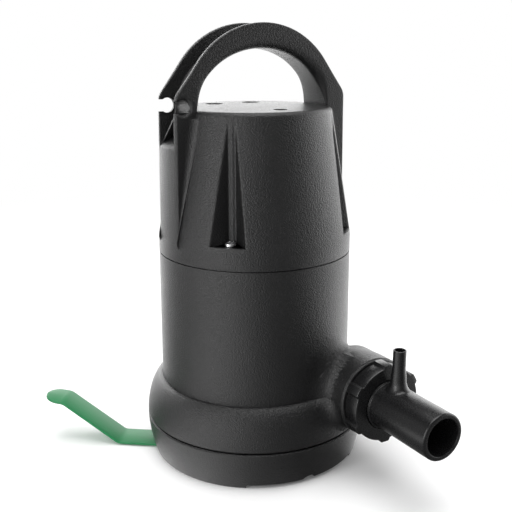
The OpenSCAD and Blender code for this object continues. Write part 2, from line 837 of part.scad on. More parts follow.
module stabiliser_strap() color([0.2, 0.65, 0.42]) {
    path = strap_path();
    n = len(path) - 1;
    tip = path[n][0] - strap_w / 2;
    taper_at = sqrt(foot_r * foot_r - strap_aside * strap_aside) - strap_taper / 2;
    difference() {
        along_strap() intersection() {
            translate([0, strap_plate_w, strap_lift]) rotate([quarter, 0, 0]) linear_extrude(2 * strap_plate_w)
                polygon(concat(path, [for (i = [n:-1:0]) let (
                    d = path[min(i + 1, n)] - path[max(i - 1, 0)])
                    path[i] + strap_t * [-d[1], d[0]] / norm(d)]));
            union() {
                linear_extrude(2 * strap_rise) polygon([
                    [strap_plate_from, -strap_plate_w / 2], [taper_at, -strap_plate_w / 2],
                    [taper_at + strap_taper, -strap_w / 2], [tip, -strap_w / 2], [tip, strap_w / 2],
                    [taper_at + strap_taper, strap_w / 2], [taper_at, strap_plate_w / 2],
                    [strap_plate_from, strap_plate_w / 2]]);
                translate([tip, 0, 0]) cylinder(r = strap_w / 2, h = 2 * strap_rise);
            }
        }
        strap_screw_places() cylinder(r = strap_screw_shank_r + slip, h = strap_boss_r);
    }
}

module strap_screws() color([0.8, 0.8, 0.82]) {
    strap_screw_places() translate([0, 0, strap_lift]) rotate([half_turn, 0, 0])
        screw(strap_screw_shank_r, strainer_z + strainer_t - strap_lift, strap_screw_head_r, strap_screw_head_h);
}

module base_gasket() color([0.15, 0.15, 0.15]) {
    difference() {
        translate([0, 0, cover_top_z]) ring(gasket_out_r, gasket_in_r, gasket_t);
        around(screw_count, base_screw_r, base_screw_first_angle)
            cylinder(r = base_screw_shank_r + slip, h = 2 * base_seam_z);
    }
}

module seal_plate() color([0.72, 0.73, 0.74]) {
    difference() {
        union() {
            translate([0, 0, motor_z]) cylinder(r = plate_r, h = plate_t);
            translate([0, 0, nose_z]) cylinder(r = nose_r, h = nose_h + plate_t);
            translate([0, 0, motor_z]) cylinder(r = plate_boss_r, h = plate_t + plate_boss_h);
        }
        translate([0, 0, lower_bearing_z]) cylinder(r = race_out_r, h = plate_boss_h + cut);
        translate([0, 0, nose_z - cut]) cylinder(r = shaft_r + shaft_room, h = 2 * nose_h);
        translate([0, 0, nose_z - cut]) cylinder(r = seat_r, h = seat_recess + seat_t + cut);
        translate([0, 0, motor_z - cut])
            ring(o_ring_r + o_ring_cord_r, o_ring_r - o_ring_cord_r, 2 * o_ring_cord_r + cut);
        around(can_screw_count, can_screw_at, can_screw_first_angle)
            translate([0, 0, motor_z - cut]) cylinder(r = can_screw_shank_r + slip, h = plate_t + 2 * cut);
    }
}

module plate_o_ring() color([0.12, 0.12, 0.12]) {
    translate([0, 0, motor_z + o_ring_cord_r]) rotate_extrude() translate([o_ring_r, 0]) circle(r = o_ring_cord_r);
}

module motor_can() color([0.78, 0.79, 0.8]) {
    difference() {
        union() {
            translate([0, 0, can_flange_z]) cylinder(r = can_r, h = can_h);
            translate([0, 0, can_flange_z]) cylinder(r = plate_r, h = can_flange_t);
        }
        translate([0, 0, can_flange_z - cut]) cylinder(r = can_inner_r, h = can_h - can_t + cut);
        translate([gland_x, gland_y, can_top_z - 2 * can_t]) cylinder(r = gland_thread_r, h = 3 * can_t);
        around(can_screw_count, can_screw_at, can_screw_first_angle) translate([0, 0, can_flange_z - cut])
            cylinder(r = can_screw_shank_r + slip, h = can_flange_t + 2 * cut);
    }
}

module can_gasket() color([0.15, 0.15, 0.15]) {
    difference() {
        translate([0, 0, plate_top_z]) ring(plate_r, can_inner_r, can_gasket_t);
        around(can_screw_count, can_screw_at, can_screw_first_angle)
            translate([0, 0, plate_top_z - cut]) cylinder(r = can_screw_shank_r + slip, h = can_gasket_t + 2 * cut);
    }
}

module can_screws() color([0.8, 0.8, 0.82]) {
    around(can_screw_count, can_screw_at, can_screw_first_angle)
        translate([0, 0, can_flange_z + can_flange_t])
            screw(can_screw_shank_r, can_screw_len, can_screw_head_r, can_screw_head_h);
}

module stator_core() color([0.45, 0.46, 0.48]) {
    translate([0, 0, stack_z]) difference() {
        ring(can_inner_r, rotor_r + air_gap, stack_h);
        around(tooth_count, 0, 0) translate([0, 0, -cut]) linear_extrude(stack_h + 2 * cut) {
            translate([slot_in_r, -coil_w / 2]) square([slot_depth, coil_w]);
            translate([rotor_r, -slot_mouth / 2]) square([slot_depth, slot_mouth]);
        }
    }
}

module end_turns() {
    rotate_extrude() polygon([[slot_in_r, 0], [slot_out_r, 0], [slot_out_r, end_turn_h - end_turn_edge],
        [slot_out_r - end_turn_edge, end_turn_h], [slot_in_r + end_turn_edge, end_turn_h],
        [slot_in_r, end_turn_h - end_turn_edge]]);
}

module stator_windings() color([0.72, 0.42, 0.2]) {
    coil = coil_w - slip;
    translate([0, 0, stack_top_z]) end_turns();
    translate([0, 0, stack_z]) mirror([0, 0, 1]) end_turns();
    around(tooth_count, slot_in_r, 0) translate([slip, -coil / 2, stack_z - cut])
        cube([slot_depth - 2 * slip, coil, stack_h + 2 * cut]);
}

module thermal_cutout() color([0.85, 0.85, 0.8]) {
    rotate([0, 0, cutout_angle]) translate([(slot_in_r + slot_out_r - cutout_w) / 2, -cutout_l / 2, end_turn_top_z])
        cube([cutout_w, cutout_l, cutout_h]);
}

module lead_wires() color([0.55, 0.3, 0.15]) {
    low = end_turn_top_z;
    rotate([0, 0, gland_angle]) translate([gland_at, 0, low]) around(wire_count, wire_at, 0)
        cylinder(r = wire_r, h = can_top_z - can_t - gland_stem_h + wire_in - low);
}

module rotor_core() color([0.5, 0.5, 0.52]) {
    translate([0, 0, stack_z]) ring(rotor_r, core_shaft_r, stack_h);
}

module rotor_end_rings() color([0.75, 0.76, 0.78]) {
    for (z = [stack_z - end_ring_h, stack_top_z])
        translate([0, 0, z]) ring(rotor_r - air_gap, rotor_r - end_ring_t, end_ring_h);
}

module motor_shaft() color([0.72, 0.73, 0.75]) {
    low = hub_z - impeller_nut_h - stud_proud;
    race_low = lower_bearing_z + race_w;
    difference() {
        union() {
            translate([0, 0, low]) cylinder(r = stud_r, h = impeller_nut_h + stud_proud + cut);
            translate([0, 0, hub_z]) cylinder(r = shaft_r, h = upper_bearing_top_z - run_gap - hub_z);
            translate([0, 0, race_low]) cylinder(r = core_shaft_r, h = upper_bearing_z - race_low);
        }
        translate([shaft_r - key_h / 2, -key_w / 2, hub_z + key_gap]) cube([key_h, key_w, key_len]);
    }
}

module outer_race(z) {
    translate([0, 0, z]) rotate_extrude() difference() {
        translate([race_out_r - race_t, 0]) square([race_t, race_w]);
        translate([race_mid_r, race_w / 2]) circle(r = ball_r + ball_gap);
    }
}

module inner_race(z) {
    translate([0, 0, z]) rotate_extrude() difference() {
        translate([shaft_r, 0]) square([race_t, race_w]);
        translate([race_mid_r, race_w / 2]) circle(r = ball_r + ball_gap);
    }
}

module balls(z) {
    around(ball_count, race_mid_r, 0) translate([0, 0, z + race_w / 2]) sphere(r = ball_r);
}

module lower_outer_race() color([0.7, 0.71, 0.73]) outer_race(lower_bearing_z);

module lower_inner_race() color([0.7, 0.71, 0.73]) inner_race(lower_bearing_z);

module lower_bearing_balls() color([0.8, 0.81, 0.83]) balls(lower_bearing_z);

module upper_outer_race() color([0.7, 0.71, 0.73]) outer_race(upper_bearing_z);

module upper_inner_race() color([0.7, 0.71, 0.73]) inner_race(upper_bearing_z);

module upper_bearing_balls() color([0.8, 0.81, 0.83]) balls(upper_bearing_z);

module bearing_bracket() color([0.6, 0.61, 0.62]) {
    difference() {
        union() {
            translate([0, 0, bracket_z]) cylinder(r = can_inner_r, h = bracket_t);
            translate([0, 0, bracket_z]) cylinder(r = bracket_boss_r, h = bracket_top_z - bracket_z);
        }
        translate([0, 0, bracket_z - cut])
            cylinder(r = race_out_r, h = bracket_top_z - bracket_roof_t - bracket_z + cut);
        around(bracket_holes, gland_at, gland_angle)
            translate([0, 0, bracket_z - cut]) cylinder(r = bracket_hole_r, h = bracket_t + 2 * cut);
    }
}

module preload_washer() color([0.65, 0.66, 0.68]) {
    translate([0, 0, upper_bearing_top_z]) ring(race_out_r - slip, washer_in_r, washer_t);
}

module seal_seat() color([0.9, 0.9, 0.88]) {
    translate([0, 0, seat_z]) ring(seat_r, seat_bore_r, seat_t);
}

module seal_head() color([0.25, 0.25, 0.27]) {
    top = seat_z - seal_gap - hub_top_z;
    translate([0, 0, hub_top_z]) rotate_extrude() polygon([[shaft_r, 0], [head_r, 0], [head_r, head_foot_h],
        [head_mid_r, head_foot_h], [head_mid_r, top - head_face_h], [head_r, top - head_face_h],
        [head_r, top], [shaft_r, top]]);
}

// One vane: a strip of even thickness that sweeps back as its radius grows
function vane_side(side) = [for (i = [0:vane_steps]) let (
    s = i / vane_steps,
    r = vane_root_r + (impeller_r - vane_back - vane_root_r) * s,
    a = vane_sweep_angle * s + side * vane_t / 2 / r * half_turn / PI) r * [cos(a), sin(a)]];

function reversed(points) = [for (i = [len(points) - 1:-1:0]) points[i]];

module impeller() color([0.12, 0.12, 0.13]) {
    difference() {
        union() {
            translate([0, 0, impeller_z]) ring(impeller_r, eye_r, shroud_t);
            translate([0, 0, impeller_top_z - shroud_t]) cylinder(r = impeller_r, h = shroud_t);
            translate([0, 0, hub_z]) cylinder(r = hub_out_r, h = hub_top_z - hub_z);
            translate([0, 0, impeller_z + shroud_t / 2]) around(vane_count, 0, 0)
                linear_extrude(vane_h + shroud_t) polygon(concat(vane_side(-1), reversed(vane_side(1))));
        }
        translate([0, 0, impeller_z - cut]) cylinder(r = shaft_r, h = hub_top_z);
        translate([0, -key_w / 2, hub_z - cut])
            cube([shaft_r + key_h / 2, key_w, hub_top_z - hub_z + 2 * cut]);
        translate([0, 0, impeller_z - cut]) cylinder(r = impeller_nut_r + run_gap, h = hub_lift + cut);
    }
}

module impeller_key() color([0.6, 0.6, 0.62]) {
    translate([shaft_r - key_h / 2, -key_w / 2, hub_z + key_gap]) cube([key_h, key_w, key_len]);
}

module impeller_nut() color([0.75, 0.66, 0.4]) {
    translate([0, 0, hub_z - impeller_nut_h]) difference() {
        hex_prism(impeller_nut_r, impeller_nut_h);
        translate([0, 0, -cut]) cylinder(r = stud_r, h = impeller_nut_h + 2 * cut);
    }
}

module capacitor_body(r, len) {
    translate([-len / 2, 0, capacitor_z]) rotate([0, quarter, 0]) cylinder(r = r, h = len);
}

module run_capacitor() color([0.85, 0.85, 0.87]) capacitor_body(capacitor_r, capacitor_len);

module capacitor_clip() color([0.7, 0.71, 0.73]) {
    difference() {
        union() {
            capacitor_body(capacitor_r + clip_t, clip_w);
            translate([-clip_w / 2, -clip_foot_w / 2, bracket_top_z]) cube([clip_w, clip_foot_w, clip_t]);
        }
        capacitor_body(capacitor_r, clip_w + 2 * cut);
    }
}

module cord_gland() color([0.12, 0.12, 0.13]) {
    stem_z = can_top_z - can_t - gland_stem_h;
    translate([gland_x, gland_y, 0]) difference() {
        union() {
            translate([0, 0, stem_z]) cylinder(r = gland_thread_r, h = can_top_z - stem_z + cut);
            translate([0, 0, can_top_z]) hex_prism(gland_collar_r, gland_collar_h);
            translate([0, 0, can_top_z + gland_collar_h - cut]) cylinder(r = gland_thread_r, h = gland_thread_h + cut);
        }
        translate([0, 0, stem_z - cut]) cylinder(r = gland_bore_r, h = gland_stem_h + can_t + gland_collar_h
            + gland_thread_h + 2 * cut);
    }
}

module gland_nut() color([0.12, 0.12, 0.13]) {
    translate([gland_x, gland_y, can_top_z + gland_collar_h + gland_nut_gap]) difference() {
        cylinder(r = gland_nut_r, h = gland_nut_h);
        translate([0, 0, -cut]) cylinder(r = gland_thread_r, h = gland_nut_h - gland_lip_t + cut);
        cylinder(r = gland_bore_r, h = gland_nut_h + cut);
    }
}

module gland_lock_nut() color([0.6, 0.61, 0.62]) {
    translate([gland_x, gland_y, can_top_z - can_t - lock_nut_h - slip]) difference() {
        hex_prism(lock_nut_r, lock_nut_h);
        translate([0, 0, -cut]) cylinder(r = gland_thread_r, h = lock_nut_h + 2 * cut);
    }
}

top_housing();
carry_handle();
main_housing();
base_cover();
intake_strainer();
union_nut();
venturi_nozzle();
venturi_jet();
nozzle_gasket();
cap_screws();
base_screws();
stabiliser_strap();
strap_screws();
base_gasket();
seal_plate();
plate_o_ring();
motor_can();
can_gasket();
can_screws();
stator_core();
stator_windings();
thermal_cutout();
lead_wires();
rotor_core();
rotor_end_rings();
motor_shaft();
lower_outer_race();
lower_inner_race();
lower_bearing_balls();
upper_outer_race();
upper_inner_race();
upper_bearing_balls();
bearing_bracket();
preload_washer();
seal_seat();
seal_head();
impeller();
impeller_key();
impeller_nut();
run_capacitor();
capacitor_clip();
cord_gland();
gland_nut();
gland_lock_nut();
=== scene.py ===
"""Submersible aerator mixer: an upright pump whose side outlet carries a union nut and a venturi nozzle."""

import json

import bmesh
import bpy
import numpy as np
from mathutils import Matrix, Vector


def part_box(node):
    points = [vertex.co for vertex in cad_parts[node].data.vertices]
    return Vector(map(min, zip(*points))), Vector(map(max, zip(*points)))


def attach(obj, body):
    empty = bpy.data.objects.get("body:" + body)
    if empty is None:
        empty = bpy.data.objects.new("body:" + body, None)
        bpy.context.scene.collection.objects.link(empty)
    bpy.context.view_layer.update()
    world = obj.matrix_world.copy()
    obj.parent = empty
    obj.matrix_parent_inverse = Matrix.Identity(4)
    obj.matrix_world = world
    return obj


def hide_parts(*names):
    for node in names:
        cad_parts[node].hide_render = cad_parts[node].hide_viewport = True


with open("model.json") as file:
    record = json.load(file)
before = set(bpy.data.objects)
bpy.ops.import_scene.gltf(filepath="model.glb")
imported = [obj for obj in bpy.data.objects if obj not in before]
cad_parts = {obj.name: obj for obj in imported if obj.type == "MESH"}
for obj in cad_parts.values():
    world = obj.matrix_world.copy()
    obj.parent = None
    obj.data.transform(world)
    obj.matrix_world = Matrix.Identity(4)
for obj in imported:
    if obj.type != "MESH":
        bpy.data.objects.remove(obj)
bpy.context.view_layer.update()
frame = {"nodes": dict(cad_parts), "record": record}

# Camera
# The photograph's view, worked out from the seams, the nozzle, the nut's lugs and the handle together. It
# stands 30 degrees round from the nozzle's side, looks down by 15.4 degrees and is almost level.
pitch, yaw, roll, round_angle = np.radians([15.4, 0.117, -0.159, -30])
ahead = np.array([np.sin(yaw) * np.cos(pitch), np.cos(yaw) * np.cos(pitch), -np.sin(pitch)])
side = np.cross(ahead, [0, 0, 1])
side /= np.linalg.norm(side)
over = np.cross(side, ahead)
turned_axes = np.stack([np.cos(roll) * side + np.sin(roll) * over,
                        np.cos(roll) * over - np.sin(roll) * side, -ahead], axis=1)
about_z = np.array([[np.cos(round_angle), -np.sin(round_angle), 0],
                    [np.sin(round_angle), np.cos(round_angle), 0], [0, 0, 1]])
camera_place, focal_length, sensor_width = (-0.3023, -0.5235, 0.324), 55.288, 36
lens = bpy.data.cameras.new("lens")
lens.lens, lens.sensor_width = focal_length, sensor_width
camera = bpy.data.objects.new("camera", lens)
camera_axes = Matrix((about_z @ turned_axes).tolist()).to_4x4()
camera.matrix_world = Matrix.Translation(camera_place) @ camera_axes
bpy.context.scene.collection.objects.link(camera)
bpy.context.scene.camera = camera

# Main housing
# The black moulded body that holds the motor and, in the swelling below, the impeller. It is one moulding
# with its outlet neck, which leaves the pump chamber sideways. Screws from the cap and the base hold it.
mm = 0.001
body_r, body_draft, wall = 75, 0.7, 3.5
base_z, seam_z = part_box("main_housing")[0][2] / mm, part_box("main_housing")[1][2] / mm
bulge_h, bulge_r, bulge_share = 31.5, 88.5, 1.1
groove, seam_gap, seam_deep, seam_edge = 0.8, 0.45, 1.2, 0.1
outlet_x, outlet_z = 48, 63.5
neck_r, neck_reach, neck_edge = 30, 98, 1.5
spigot_r, spigot_end, outlet_bore_r = 24.6, 105.5, 16
fairing_r, fairing_aside, fairing_drop, fairing_at, fairing_end = 34, 11, 4.5, 58, 84
neck_at, neck_swell_len, neck_swell, neck_blend = 57, 8, 6, 2.0
fillet, tight_fillet, tight_from, tight_over, fillet_fade_h = 15, 2.5, 64, 36, 14
seen_to, seen_less, less_from, less_over = 86, 34, 40, 15
deck_z, motor_z, chamber_r, shaft_hole_r, outlet_bore_from = 80, 84, 56, 22, 60


def arc(across, height, radius, start, stop, count):
    """Points of an arc: a centre plus a radius along an angle that runs from start to stop, in degrees."""
    angle = np.radians(np.linspace(start, stop, count))
    return np.stack([across + radius * np.cos(angle), height + radius * np.sin(angle)], axis=1)


def turned(profile, angles):
    """A profile of radii and heights carried round Z: radius times the cosine and sine of each angle."""
    profile = np.asarray(profile, float)
    return np.stack([profile[:, :1] * np.cos(angles), profile[:, :1] * np.sin(angles),
                     np.repeat(profile[:, 1:], len(angles), axis=1)], axis=-1)


def at_outlet(points):
    """Points about the Z axis moved onto the outlet's axis: their height becomes the distance out to -Y."""
    return np.stack([outlet_x + points[..., 0], -points[..., 2], outlet_z + points[..., 1]], axis=-1)


def smooth_least(a, b, reach):
    """The lesser of a and b, less a quarter of reach times the square of how near they are within reach."""
    near = np.clip(reach - np.abs(a - b), 0, None) / np.maximum(reach, 1e-6)
    return np.minimum(a, b) - near * near * reach / 4


def met(outside, low, high):
    """Halves the span from low to high 40 times, towards the value where outside rises past zero."""
    for _ in range(40):
        middle = (low + high) / 2
        beyond = outside(middle) > 0
        low, high = np.where(beyond, low, middle), np.where(beyond, middle, high)
    return (low + high) / 2


def skin(name, *sheets, sharp=38):
    """One mesh from sheets of points in millimetres, each an array of rows by columns. Neighbours make
    faces, points that coincide are merged, and an edge that turns by more than sharp degrees stays sharp."""
    points, faces, first = [], [], 0
    for sheet in sheets:
        at = first + np.arange(sheet.shape[0] * sheet.shape[1]).reshape(sheet.shape[:2])
        faces.append(np.stack([at[:-1, :-1], at[:-1, 1:], at[1:, 1:], at[1:, :-1]], axis=-1).reshape(-1, 4))
        points.append(sheet.reshape(-1, 3) * mm)
        first += at.size
    mesh = bpy.data.meshes.new(name)
    mesh.from_pydata(np.concatenate(points).tolist(), [], np.concatenate(faces).tolist())
    shape = bmesh.new()
    shape.from_mesh(mesh)
    bmesh.ops.remove_doubles(shape, verts=shape.verts, dist=2e-6)
    bmesh.ops.recalc_face_normals(shape, faces=shape.faces)
    shape.to_mesh(mesh)
    shape.free()
    mesh.shade_smooth()
    mesh.set_sharp_from_angle(angle=np.radians(sharp))
    piece = bpy.data.objects.new(name, mesh)
    bpy.context.scene.collection.objects.link(piece)
    return piece


def closed(row):
    """A row of points, or a sheet of rows, that ends with its first one again and so makes a closed ring."""
    return np.concatenate([row, row[:1]])


def eased(part):
    """A share from 0 to 1 that starts and ends slowly: three times its square less twice its cube."""
    part = np.clip(part, 0, 1)
    return part * part * (3 - 2 * part)


def outside(x, y, height, plain_r, stop):
    """How far a point lies outside the body, where the turned body, the outlet's fairing and its neck run
    into each other. It is the eased least of their distances, and the outlet counts only as far out as stop,
    or less far on its right, where rays from the middle would run along it."""
    along = eased((-y - fairing_at) / (fairing_end - fairing_at))
    fairing = np.hypot(x - outlet_x + fairing_aside * (1 - along),
                       height - outlet_z + fairing_drop * (1 - along))
    fairing = np.maximum(fairing - fairing_r + (fairing_r - neck_r) * along, y)
    swelling_r = neck_r - neck_swell * (1 - eased((-y - neck_at) / neck_swell_len))
    plain_neck = np.maximum(np.hypot(x - outlet_x, height - outlet_z) - swelling_r, y + neck_at)
    past_stop = -y - stop + seen_less * eased((x - less_from) / less_over)
    outlet = np.maximum(smooth_least(fairing, plain_neck, neck_blend), past_stop)
    reach = tight_fillet + (fillet - tight_fillet) * eased((tight_from - x) / tight_over)
    reach = reach * np.clip((height - base_z) / fillet_fade_h, 0, 1)
    return smooth_least(np.hypot(x, y) - plain_r, outlet, reach)


swell = np.radians(np.concatenate([[3, 6, 9], np.linspace(12, 90, 32)]))
swelling = np.stack([body_r + body_draft + (bulge_r - body_r - body_draft) * np.cos(swell) ** bulge_share,
                     base_z + bulge_h * np.sin(swell) ** bulge_share], axis=1)
near_from, near_to, near_step, plain_from = 63.2, 110, 1.7, 112
straight_z = np.concatenate([np.arange(near_from, near_to, near_step),
                             np.linspace(plain_from, seam_z - seam_gap, 12)])
straight_r = body_r + body_draft * (seam_z - straight_z) / (seam_z - base_z - bulge_h)
straight = np.stack([straight_r, straight_z], axis=1)
seam_r = body_r - seam_deep
outline = np.concatenate([[[bulge_r - groove, base_z]], swelling, straight,
                          [[seam_r, seam_z - seam_gap + seam_edge], [seam_r, seam_z]]])
outlet_side, plain_side, whole_turn, fine_turn, plain_turn = -100, 20, 260.1, 0.4, 1.5
angles = np.radians(np.concatenate([np.arange(outlet_side, plain_side, fine_turn),
                                    np.arange(plain_side, whole_turn, plain_turn)]))
grid_angle, grid_height = np.meshgrid(angles, outline[:, 1])
least_r, most_r = np.full(grid_angle.shape, 55.0), np.full(grid_angle.shape, 135.0)


def beyond_body(radius):
    x, y = radius * np.cos(grid_angle), radius * np.sin(grid_angle)
    return outside(x, y, grid_height, outline[:, :1], seen_to)


radius = met(beyond_body, least_r, most_r)
body_sheet = np.stack([radius * np.cos(grid_angle), radius * np.sin(grid_angle), grid_height], axis=-1)
inner_r = body_r - wall
inside = np.array([[inner_r, seam_z], [inner_r, motor_z], [shaft_hole_r, motor_z], [shaft_hole_r, deck_z],
                   [chamber_r, deck_z], [chamber_r, base_z]])
inside_sheet = np.concatenate([body_sheet[-1:], turned(inside, angles), body_sheet[:1]])
root_at, outlet_step = 30, 1.1
outlet_steps = np.arange(root_at, neck_reach - neck_edge + 0.1, outlet_step)
around, out_along = np.meshgrid(np.radians(np.linspace(0, 360, 181)), outlet_steps)
along = eased((out_along - fairing_at) / (fairing_end - fairing_at))
middle_x, middle_z = outlet_x - fairing_aside * (1 - along), outlet_z - fairing_drop * (1 - along)
under_base, under_base_r = 0.02, 60
body_profile_z = np.concatenate([[base_z - under_base], outline[:, 1]])
body_profile_r = np.concatenate([[under_base_r], outline[:, 0]])


def beyond_outlet(radius):
    height, no_stop = middle_z + radius * np.sin(around), 200
    plain_r = np.interp(height, body_profile_z, body_profile_r)
    return outside(middle_x + radius * np.cos(around), -out_along, height, plain_r, no_stop)


least_out, most_out = np.full(around.shape, 15.0), np.full(around.shape, fairing_r + 4.0)
radius = met(beyond_outlet, least_out, most_out)
outlet_sheet = np.stack([middle_x + radius * np.cos(around), -out_along, middle_z + radius * np.sin(around)],
                        axis=-1)
rim = np.concatenate([arc(neck_r - neck_edge, neck_reach - neck_edge, neck_edge, 0, 90, 7),
                      [[spigot_r, neck_reach], [spigot_r, spigot_end], [outlet_bore_r, spigot_end],
                       [outlet_bore_r, outlet_bore_from]]])
outlet_sheet = closed(np.concatenate([outlet_sheet, at_outlet(turned(rim, around[0]))]))
main_housing = skin("body_shell", body_sheet, inside_sheet, outlet_sheet, sharp=30)


class Wire:
    """A socket of one material. Sums, differences and products of wires and numbers add Math nodes."""

    def __init__(self, tree, socket=None):
        self.tree, self.socket = tree, socket

    def node(self, kind, values, settings=None, out=0):
        """Adds a node: its settings are set first, a ramp's stops among them, then its sockets get values or
        wires."""
        made = self.tree.nodes.new(kind)
        settings = dict(settings or {})
        stops = settings.pop("stops", [])
        for name, setting in settings.items():
            setattr(made, name, setting)
        for _ in stops[2:]:
            made.color_ramp.elements.new(0.5)
        for element, (place, tone) in zip(made.color_ramp.elements if stops else [], stops):
            element.position, element.color = place, (*tone, 1)
        for name, value in values.items():
            if isinstance(value, Wire):
                self.tree.links.new(value.socket, made.inputs[name])
            else:
                made.inputs[name].default_value = value
        return Wire(self.tree, made.outputs[out])

    def maths(self, operation, first, second):
        return self.node("ShaderNodeMath", {0: first, 1: second}, {"operation": operation})

    def __add__(self, other):
        return self.maths("ADD", self, other)

    def __sub__(self, other):
        return self.maths("SUBTRACT", self, other)

    def __rsub__(self, other):
        return self.maths("SUBTRACT", other, self)

    def __mul__(self, other):
        return self.maths("MULTIPLY", self, other)

    __radd__, __rmul__ = __add__, __mul__


def finish(name, **constants):
    """A new material, its first wire, its object coordinates, and its shader with the constants set."""
    material = bpy.data.materials.new(name)
    material.use_nodes = True
    shader = material.node_tree.nodes["Principled BSDF"]
    for socket, value in constants.items():
        shader.inputs[socket.replace("_", " ")].default_value = value
    start = Wire(material.node_tree)
    return material, start, start.node("ShaderNodeTexCoord", {}, out=3), shader


def feed(start, shader, **wires):
    """Links each wire to the shader's socket of that name."""
    for socket, wire in wires.items():
        start.tree.links.new(wire.socket, shader.inputs[socket.replace("_", " ")])


def noise(start, place, scale, detail=2.0, roughness=0.5):
    """Noise between 0 and 1 at a scale of lumps per metre."""
    settings = {"Vector": place, "Scale": scale, "Detail": detail, "Roughness": roughness}
    return start.node("ShaderNodeTexNoise", settings)


def blend(start, share, low, high):
    """A colour between two colours, fixed or wired, by a share from 0 to 1."""
    low, high = [tone if isinstance(tone, Wire) else (*tone, 1) for tone in (low, high)]
    return start.node("ShaderNodeMix", {0: share, 6: low, 7: high}, {"data_type": "RGBA"}, out=2)


def moulded(name, low, high, gloss, grain_scale, grain_depth):
    """Moulded plastic: a fine grain lifts the surface, and tone and gloss drift over wide patches."""
    material, start, place, shader = finish(name, IOR=1.5)
    fine = noise(start, place, grain_scale, 2.0, 0.6)
    drift = noise(start, place, 22.0, 3.0)
    bump = start.node("ShaderNodeBump", {"Strength": 1.0, "Distance": grain_depth, "Height": fine})
    feed(start, shader, Base_Color=blend(start, drift * 0.6 + fine * 0.4, low, high),
         Roughness=drift * 0.1 + fine * 0.12 + (gloss - 0.11), Normal=bump)
    return material


black_plastic = moulded("moulded black plastic", (0.0045, 0.0045, 0.0047), (0.008, 0.008, 0.0083),
                        gloss=0.31, grain_scale=1000.0, grain_depth=0.0006)
main_housing.data.materials.append(black_plastic)
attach(main_housing, "pump")
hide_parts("main_housing")

# Top housing
# The tapered black cap over the motor. Four V-shaped wells run down its sides to the screws that hold it,
# each with a half-round rib at its back. Its roof is slightly domed and has three holes.
rim_z, roof_z, rim_fillet, dome_h = 273, 275.3, 4.0, 0.3
cap_band_z, cap_top_r, band_plain, band_round, band_dip = seam_z + 12.5, 59, 7, 0.8, 0.08
roof_wall_from, roof_wall_over = 240, 30
well_floor_z, well_apex_r, well_slope = seam_z + 16.5, 56.5, 15 / 18.5
rib_at, rib_r, rib_blend, well_edge_round = 57.4, 3.1, 1.6, 1.1
cone_slope = (body_r - cap_top_r) / (rim_z - cap_band_z)


def cone_r(height):
    return body_r - np.clip(height - cap_band_z, 0, None) * cone_slope


def well_edge(height):
    """Half angle of a well's mouth: where its side, apex radius plus half width over slope, cuts the cone."""
    cone = cone_r(height)
    k = 1 / well_slope
    half = (-well_apex_r * k + np.sqrt((1 + k * k) * cone ** 2 - well_apex_r ** 2)) / (1 + k * k)
    return np.arcsin(half / cone)


def cap_radius(off, height):
    """Radius of the cap at an angle off a well's middle. Along each ray it is where the eased greater of the
    cone's distance and the well's opening is zero; the rib is taken out of the opening."""
    def past_skin(radius):
        u, v = radius * np.cos(off), radius * np.sin(off)
        opening = (np.abs(v) - (u - well_apex_r) * well_slope) * np.cos(np.arctan(well_slope))
        rib = np.hypot(u - rib_at, v) - rib_r
        solid = smooth_least(-opening, rib, rib_blend)
        return -smooth_least(cone_r(height) - radius, -solid, well_edge_round)
    return met(past_skin, np.full(off.shape, 40.0), np.full(off.shape, 90.0))


mouth_share = np.concatenate([np.linspace(0, 0.34, 12)[:-1], np.linspace(0.34, 0.9, 12)[:-1],
                              np.linspace(0.9, 1, 6)])
flank_share = np.concatenate([np.linspace(0, 0.06, 6)[1:], np.linspace(0.06, 1, 22)[1:]])


def ring_angles(height):
    """Angles of one row round the cap, spaced by the width of the wells' mouths at that height, and the same
    angles counted from the middle of each well."""
    edge = well_edge(height)
    half = np.concatenate([mouth_share * edge, edge + flank_share * (np.pi / 4 - edge)])
    quarter = np.concatenate([-half[:0:-1], half])
    return np.concatenate([np.pi / 4 + k * np.pi / 2 + quarter for k in range(4)]), np.tile(quarter, 4)


def ring(radius, height, angles):
    """One row of points round the Z axis: its radius times the cosine and sine of each angle."""
    radius, height = radius + 0 * angles, height + 0 * angles
    return np.stack([radius * np.cos(angles), radius * np.sin(angles), height], axis=1)


plain_band = [(seam_z, seam_r), (seam_z + seam_gap - seam_edge, seam_r), (seam_z + seam_gap, body_r),
              (seam_z + band_plain, body_r), (cap_band_z - band_round, body_r),
              (cap_band_z, body_r - band_dip), (cap_band_z + 1, cone_r(cap_band_z + 1)),
              (well_floor_z - 0.5, cone_r(well_floor_z) + band_dip), (well_floor_z, cone_r(well_floor_z))]
around = ring_angles(well_floor_z)[0]
rows = [ring(radius, height, around) for height, radius in plain_band]
fillet_z = roof_z - rim_fillet
narrow_from = 251
for height in np.concatenate([[well_floor_z, well_floor_z + 0.4],
                              np.linspace(well_floor_z + 1, narrow_from - 1, 40),
                              np.linspace(narrow_from, fillet_z, 28)]):
    around, off = ring_angles(height)
    radius = cap_radius(off, height)
    rows.append(ring(radius, height, around))
rim_radius = radius
tilt = np.degrees(np.arctan(cone_slope))
bend = arc(0, fillet_z, rim_fillet, tilt, 90, 9)[1:]
bend_start = arc(0, fillet_z, rim_fillet, tilt, tilt, 1)[0, 0]
rows += [ring(rim_radius - (bend_start - across), height, around) for across, height in bend]
flat_r = rim_radius - bend_start
rows += [ring(flat_r * part, roof_z + dome_h * (1 - part * part), around)
         for part in np.linspace(1, 0, 14)[1:]]
cap_sheet = np.stack(rows)
cap_inner = cap_sheet[::-1].copy()
cap_r = np.hypot(cap_inner[..., 0], cap_inner[..., 1])
cap_inner[..., :2] *= (np.clip(cap_r - wall, 0, None) / np.maximum(cap_r, 1e-6))[..., None]
